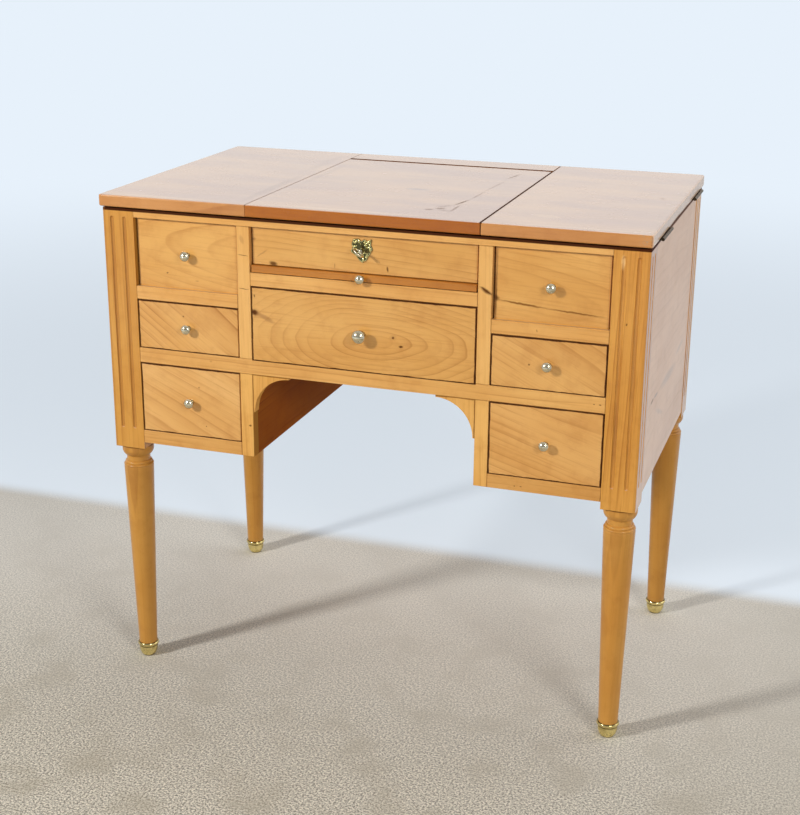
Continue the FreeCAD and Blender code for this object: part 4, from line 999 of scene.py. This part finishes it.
@dataclass
class Fittings(Dresser):
    """The knobs, the feet, the hinges and the lock's metal."""

    knob: Metal = Metal("knob_brass", (0.84, 0.76, 0.56), (0.30, 0.24, 0.13), 0.16, 0.5)
    foot: Metal = Metal("foot_brass", (0.90, 0.76, 0.34), (0.40, 0.30, 0.09), 0.16, 0.6, (
        # Painted shade: dark bands where the wood meets the rim, under the rim's lip and where the foot
        # stands on the floor.
        Band(Facing.TOP, 0.0232, 0.0300, 0.8, (0.05, 0.03, 0.008), 0.0004),
        Band(Facing.TOP, 0.0165, 0.0185, 0.8, (0.10, 0.07, 0.015), 0.0007),
        Band(Facing.TOP, -0.001, 0.0022, 0.7, (0.12, 0.08, 0.02), 0.0012)))
    hinge: Metal = Metal("hinge_brass", (0.10, 0.075, 0.045), (0.04, 0.03, 0.018), 0.42, 0.7)
    steel: Metal = Metal("lock_steel", (0.86, 0.82, 0.64), (0.34, 0.30, 0.18), 0.20, 0.5)
    plate: Metal = Metal("plate_brass", (0.80, 0.74, 0.34), (0.24, 0.20, 0.06), 0.22, 0.6, (
        Band(Facing.FRONT, -0.21955, -0.2170, 0.88, (0.035, 0.028, 0.008), 0.00022),))

    def dress_all(self) -> None:
        """Dress every metal node."""
        groups = {
            self.knob: ["fixed_knobs", "left_middle_drawer_knob", "left_bottom_drawer_knob",
                        "right_middle_drawer_knob", "right_bottom_drawer_knob", "centre_drawer_knob",
                        "writing_slide_knob"],
            self.foot: ["sabots"],
            self.hinge: ["hinge_fixed_leaves", "left_flap_leaves", "right_flap_leaves", "hinge_pins",
                         "lid_pivots", "case_screws"],
            self.steel: ["lock_case", "lock_bolt", "key"],
            self.plate: ["escutcheon"],
        }
        for finish, names in groups.items():
            for node in names:
                self.dress(node, finish)


@dataclass
class KeyPlate:
    """The cast brass plate round the keyhole, in millimetres: a lopsided shell with leaves and scrolls."""

    centre: Place = (0.0, -0.2182, 0.6870)
    outline: tuple[tuple[float, float], ...] = (
        (-14.4, 11.6), (-10.6, 15.2), (-5.4, 16.2), (-1.2, 12.4), (2.6, 15.8), (7.0, 13.2), (13.8, 16.4),
        (12.4, 8.4), (15.2, 2.6), (10.6, -5.6), (6.2, -13.4), (0.6, -17.4), (-4.2, -14.0), (-9.4, -7.6),
        (-16.9, -2.4), (-13.6, 3.6), (-15.4, 7.6))
    thickness: float = 1.0
    corner: float = 0.9
    hole: tuple[float, float] = (2.5, 3.9)
    hole_drop: float = 1.5
    rims: tuple[tuple[float, float], ...] = ((0.5, 0.5), (0.7, 0.0), (0.5, -0.7))
    leaves: tuple[tuple[float, float, float, float, float], ...] = (
        (-8.6, 11.6, 4.6, 1.7, 35.0), (-4.6, 12.6, 3.4, 1.4, 100.0), (9.4, 12.4, 4.8, 1.6, 42.0),
        (4.0, 12.0, 3.2, 1.4, 75.0), (11.4, 2.6, 4.0, 1.6, 100.0), (7.0, -6.0, 5.0, 1.5, 62.0),
        (1.6, -12.6, 3.8, 1.8, 80.0), (-9.6, 5.4, 3.2, 1.4, 20.0))
    leaf_height: float = 2.2
    leaf_taper: float = 0.45
    leaf_hollow: float = 0.3
    scrolls: tuple[tuple[float, float, float, float, float], ...] = (
        (-6.6, 2.4, 5.6, 150.0, 175.0), (-10.6, 12.4, 2.2, -30.0, 280.0), (7.8, 7.4, 3.0, -120.0, 300.0),
        (0.0, 1.0, 10.4, 196.0, 62.0), (4.4, -6.4, 3.4, -70.0, 200.0))
    scroll_lift: float = 0.35
    scroll_step: float = 16.0
    wire: float = 1.05
    eye: float = 1.575
    crease: float = 40.0

    def spot(self, across: float, up: float, out: float = 0.0) -> Vector:
        """The frame's place for millimetres across, up and out from the keyhole's middle."""
        return Vector(self.centre) + Vector((across, -out, up)) * MM

    def shell(self, shape: bmesh.types.BMesh) -> None:
        """Make the pierced plate with its stepped rims.

        Args:
            shape: the mesh that it goes into.
        """
        corners = [shape.verts.new(self.spot(across, up)) for across, up in self.outline]
        shape.faces.new(corners)
        bmesh.ops.bevel(shape, geom=corners, offset=self.corner * MM, segments=2, profile=0.5,
                        affect="VERTICES", material=-1)
        edge = list(shape.edges)
        bmesh.ops.delete(shape, geom=list(shape.faces), context="FACES_ONLY")
        circle = bmesh.ops.create_circle(shape, cap_ends=False, radius=MM, segments=len(edge))["verts"]
        place = (Matrix.Translation(self.spot(0.0, -self.hole_drop))
                 @ Matrix.Rotation(math.radians(90.0), 4, "X") @ Matrix.Diagonal((*self.hole, 1.0, 1.0)))
        bmesh.ops.transform(shape, matrix=place, verts=circle)
        ring = {link for vert in circle for link in vert.link_edges}
        faces = bmesh.ops.bridge_loops(shape, edges=[*edge, *ring])["faces"]
        lifted = bmesh.ops.extrude_face_region(shape, geom=faces)["geom"]
        front = [part for part in lifted if isinstance(part, bmesh.types.BMFace)]
        verts = {vert for face in front for vert in face.verts}
        bmesh.ops.translate(shape, vec=(0.0, -self.thickness * MM, 0.0), verts=list(verts))
        for width, rise in self.rims:
            bmesh.ops.recalc_face_normals(shape, faces=shape.faces)
            bmesh.ops.inset_region(shape, faces=front, thickness=width * MM, depth=rise * MM,
                                   use_boundary=True, use_even_offset=False)

    def leaf(self, shape: bmesh.types.BMesh, across: float, up: float, length: float, width: float,
             lean: float) -> None:
        """Lay one raised leaf on the plate.

        Args:
            shape: the mesh that it goes into.
            across: its middle, to the right of the keyhole.
            up: its middle, above the keyhole.
            length: half its length.
            width: half its width.
            lean: degrees that it rises to the right.
        """
        leaf = bmesh.ops.create_uvsphere(shape, u_segments=16, v_segments=10, radius=1.0)["verts"]
        bmesh.ops.transform(shape, matrix=Matrix.Rotation(math.radians(90.0), 4, "Y"), verts=leaf)
        for vert in leaf:
            vert.co.z *= 1.0 - self.leaf_taper * vert.co.x
            vert.co.y *= 1.0 - self.leaf_hollow * (1.0 - abs(vert.co.z))
        place = (Matrix.Translation(self.spot(across, up, self.thickness))
                 @ Matrix.Rotation(math.radians(-lean), 4, "Y")
                 @ Matrix.Diagonal((length * MM, self.leaf_height * MM, width * MM, 1.0)))
        bmesh.ops.transform(shape, matrix=place, verts=leaf)

    def scroll(self, shape: bmesh.types.BMesh, across: float, up: float, radius: float, start: float,
               sweep: float) -> None:
        """Lay one raised scroll on the plate, with a round eye at its end.

        Args:
            shape: the mesh that it goes into.
            across: its middle, to the right of the keyhole.
            up: its middle, above the keyhole.
            radius: the radius of its bend.
            start: degrees at which it begins.
            sweep: degrees that it turns through.
        """
        middle = self.spot(across, up, self.thickness + self.scroll_lift)
        profile = bmesh.ops.create_circle(shape, cap_ends=False, radius=self.wire * MM, segments=10)["verts"]
        place = (Matrix.Translation(middle) @ Matrix.Rotation(math.radians(-start), 4, "Y")
                 @ Matrix.Translation((radius * MM, 0.0, 0.0)))
        bmesh.ops.transform(shape, matrix=place, verts=profile)
        rim = list({link for vert in profile for link in vert.link_edges})
        steps = max(6, round(sweep / self.scroll_step))
        swept = bmesh.ops.spin(shape, geom=[*profile, *rim], cent=middle, axis=(0.0, -1.0, 0.0),
                               angle=math.radians(sweep), steps=steps)["geom_last"]
        ends = rim + [part for part in swept if isinstance(part, bmesh.types.BMEdge)]
        bmesh.ops.holes_fill(shape, edges=ends)
        tail = math.radians(start + sweep)
        end = middle + Vector((math.cos(tail), 0.0, math.sin(tail))) * radius * MM
        eye = bmesh.ops.create_icosphere(shape, subdivisions=2, radius=self.eye * MM)["verts"]
        bmesh.ops.translate(shape, verts=eye, vec=end)

    def build(self, finish: Metal) -> None:
        """Build the plate in place of the plain one.

        Args:
            finish: its metal.
        """
        shape = bmesh.new()
        self.shell(shape)
        for leaf in self.leaves:
            self.leaf(shape, *leaf)
        for scroll in self.scrolls:
            self.scroll(shape, *scroll)
        bmesh.ops.remove_doubles(shape, verts=shape.verts, dist=MM / 1000)
        bmesh.ops.recalc_face_normals(shape, faces=shape.faces)
        piece = lay("key_plate", shape)
        piece.data.polygons.foreach_set("use_smooth", [True] * len(piece.data.polygons))
        piece.data.set_sharp_from_angle(angle=math.radians(self.crease))
        piece.data.materials.append(finish.material())
        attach(piece, "carcass")
        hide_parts("escutcheon")
        log.info("%s: %d faces", piece.name, len(piece.data.polygons))


def lay(name: str, shape: bmesh.types.BMesh) -> bpy.types.Object:
    """Put a finished bmesh into the scene.

    Args:
        name: the piece's name.
        shape: its shape, in metres.

    Returns:
        The new object.
    """
    mesh = bpy.data.meshes.new(name)
    shape.to_mesh(mesh)
    shape.free()
    piece = bpy.data.objects.new(name, mesh)
    bpy.context.scene.collection.objects.link(piece)
    return piece


@dataclass
class Studio:
    """The floor, the lamps, the world and the camera."""

    floor_size: float = 24.0
    carpet: Colour = (0.535, 0.50, 0.425)
    pile: tuple[float, float] = (0.38, 1.60)
    trodden: Colour = (0.40, 0.36, 0.28)
    trodden_share: float = 0.50
    lit: Colour = (0.77, 0.755, 0.72)
    lit_band: tuple[float, float] = (-0.6, 0.2)
    lit_share: float = 0.6
    shaded: Colour = (0.36, 0.33, 0.275)
    shaded_band: tuple[float, float] = (0.25, 0.80)
    shaded_share: float = 0.42
    wall_band: tuple[float, float] = (0.30, 0.365)
    far_band: tuple[float, float] = (1.7, 2.6)
    haze_band: tuple[float, float] = (0.4, 4.5)
    haze: float = 0.45
    gleam: float = 0.45
    distance: Colour = (0.80, 0.88, 0.965)
    mirrored: Colour = (0.95, 0.93, 0.91)
    mirrored_from: tuple[float, float] = (-0.7, 0.4)
    mirrored_to: tuple[float, float] = (0.35, 0.95)
    ambient_tone: Colour = (0.95, 0.97, 1.0)
    ambient: float = 0.25
    lamp_tone: Colour = (1.0, 0.98, 0.95)
    lamps: tuple[tuple[str, Place, float, float], ...] = (
        ("key_lamp", (-2.1, -2.4, 1.95), 0.34, 77.0), ("fill_lamp", (1.9, -2.1, 1.7), 0.8, 30.0),
        ("bounce_lamp", (2.3, 0.9, 1.3), 1.6, 16.0), ("top_lamp", (0.2, 0.8, 2.4), 1.4, 12.0))
    aim: Place = (0.0, 0.0, 0.45)
    eye: Place = (0.673466, -2.064661, 1.131197)
    yaw: float = 18.503
    pitch: float = -18.806
    roll: float = 0.459
    lens: float = 66.402
    sensor: float = 36.0

    def lay_floor(self) -> None:
        """Lay the carpet, which turns into a plain bright floor behind the table and far from it."""
        shape = bmesh.new()
        bmesh.ops.create_grid(shape, x_segments=1, y_segments=1, size=self.floor_size)
        floor = lay("floor", shape)
        graph = Graph(bpy.data.materials.new("floor_carpet"))
        across, depth, _ = graph.split(graph.place)
        dark, pale = (tuple(part * factor for part in self.carpet) for factor in self.pile)
        near = graph.mix(graph.patches(graph.place, PILE), dark, pale)
        near = graph.mix(graph.patches(graph.place, TREADS, self.trodden_share), near, self.trodden)
        near = graph.mix(graph.product(graph.band(depth, *self.lit_band), self.lit_share), near, self.lit)
        near = graph.mix(graph.product(graph.band(across, *self.shaded_band), self.shaded_share), near,
                         self.shaded)
        away = graph.vector_sum("LENGTH", graph.place)
        far = graph.sum("MAXIMUM", graph.band(depth, *self.wall_band), graph.band(away, *self.far_band))
        graph.shade({"Base Color": graph.mix(far, near, self.distance), "Roughness": 0.95,
                     "Specular IOR Level": 0.1})
        seen = graph.sum("MAXIMUM", graph.node("LightPath", "Is Camera Ray"),
                         graph.product(graph.node("LightPath", "Is Glossy Ray"), self.gleam))
        haze = graph.sum("MULTIPLY_ADD", graph.band(away, *self.haze_band), 1.0 - self.haze, self.haze)
        glow = graph.node("Emission", 0, {"Color": self.distance})
        blend = graph.node("MixShader", 0, (graph.product(haze, far, seen), graph.shader.outputs[0], glow))
        graph.plug(graph.tree.nodes["Material Output"].inputs["Surface"], blend)
        floor.data.materials.append(graph.owner)

    def light_world(self) -> None:
        """Light the scene from all round. The camera sees a plain backdrop, and gloss a warmer one."""
        graph = Graph(bpy.data.worlds.new("studio"))
        bpy.context.scene.world = graph.owner
        depth = graph.split(graph.node("TexCoord", "Generated"))[Facing.FRONT.value]
        behind = graph.node("MapRange", "Result", (depth, *self.mirrored_from, *self.mirrored_to))
        surface = graph.node("Background", 0, {"Color": self.ambient_tone, "Strength": self.ambient})
        for ray, tone, strength in (("Is Glossy Ray", self.mirrored, behind),
                                    ("Is Camera Ray", self.distance, 1.0)):
            shade = graph.node("Background", 0, {"Color": tone, "Strength": strength})
            surface = graph.node("MixShader", 0, (graph.node("LightPath", ray), surface, shade))
        graph.plug(graph.tree.nodes["World Output"].inputs["Surface"], surface)

    def hang_lamps(self) -> None:
        """Hang the square lamps, which look at the table."""
        for name, place, size, power in self.lamps:
            lamp = bpy.data.lights.new(name, "AREA")
            lamp.size = size
            lamp.energy = power
            lamp.color = self.lamp_tone
            holder = bpy.data.objects.new(name, lamp)
            holder.location = place
            holder.rotation_euler = (Vector(self.aim) - Vector(place)).to_track_quat("-Z", "Y").to_euler()
            bpy.context.scene.collection.objects.link(holder)

    def set_camera(self) -> None:
        """Set the camera where the photographer stood."""
        yaw, pitch, roll = (math.radians(angle) for angle in (self.yaw, self.pitch, self.roll))
        forward = Vector((-math.sin(yaw) * math.cos(pitch), math.cos(yaw) * math.cos(pitch), math.sin(pitch)))
        right = Vector((math.cos(yaw), math.sin(yaw), 0.0))
        up = right.cross(forward)
        side = right * math.cos(roll) + up * math.sin(roll)
        top = up * math.cos(roll) - right * math.sin(roll)
        camera = bpy.data.cameras.new("camera")
        camera.sensor_fit = "HORIZONTAL"
        camera.sensor_width = self.sensor
        camera.lens = self.lens
        holder = bpy.data.objects.new("camera", camera)
        turn = Matrix((side, top, -forward)).transposed()
        holder.matrix_world = Matrix.Translation(self.eye) @ turn.to_4x4()
        bpy.context.scene.collection.objects.link(holder)
        bpy.context.scene.camera = holder

    def build(self) -> None:
        """Set up everything round the table."""
        self.lay_floor()
        self.light_world()
        self.hang_lamps()
        self.set_camera()
        bpy.context.scene.view_settings.view_transform = "Standard"


def main() -> None:
    """Build the studio, dress the table and report each piece."""
    logging.basicConfig(level=logging.INFO, format="%(name)s %(message)s")
    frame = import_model()
    nodes = frame["nodes"]
    Studio().build()
    front = FrontFrame(nodes)
    front.dress_rails()
    front.dress_uprights()
    front.dress_posts()
    fronts = Fronts(nodes)
    fronts.dress_fixed()
    fronts.dress_moving()
    TopBoards(nodes).dress_all()
    panels = Panels(nodes)
    panels.dress_sides()
    panels.dress_backs()
    panels.dress_inside()
    fittings = Fittings(nodes)
    fittings.dress_all()
    KeyPlate().build(fittings.plate)


if __name__ == "__main__":
    main()
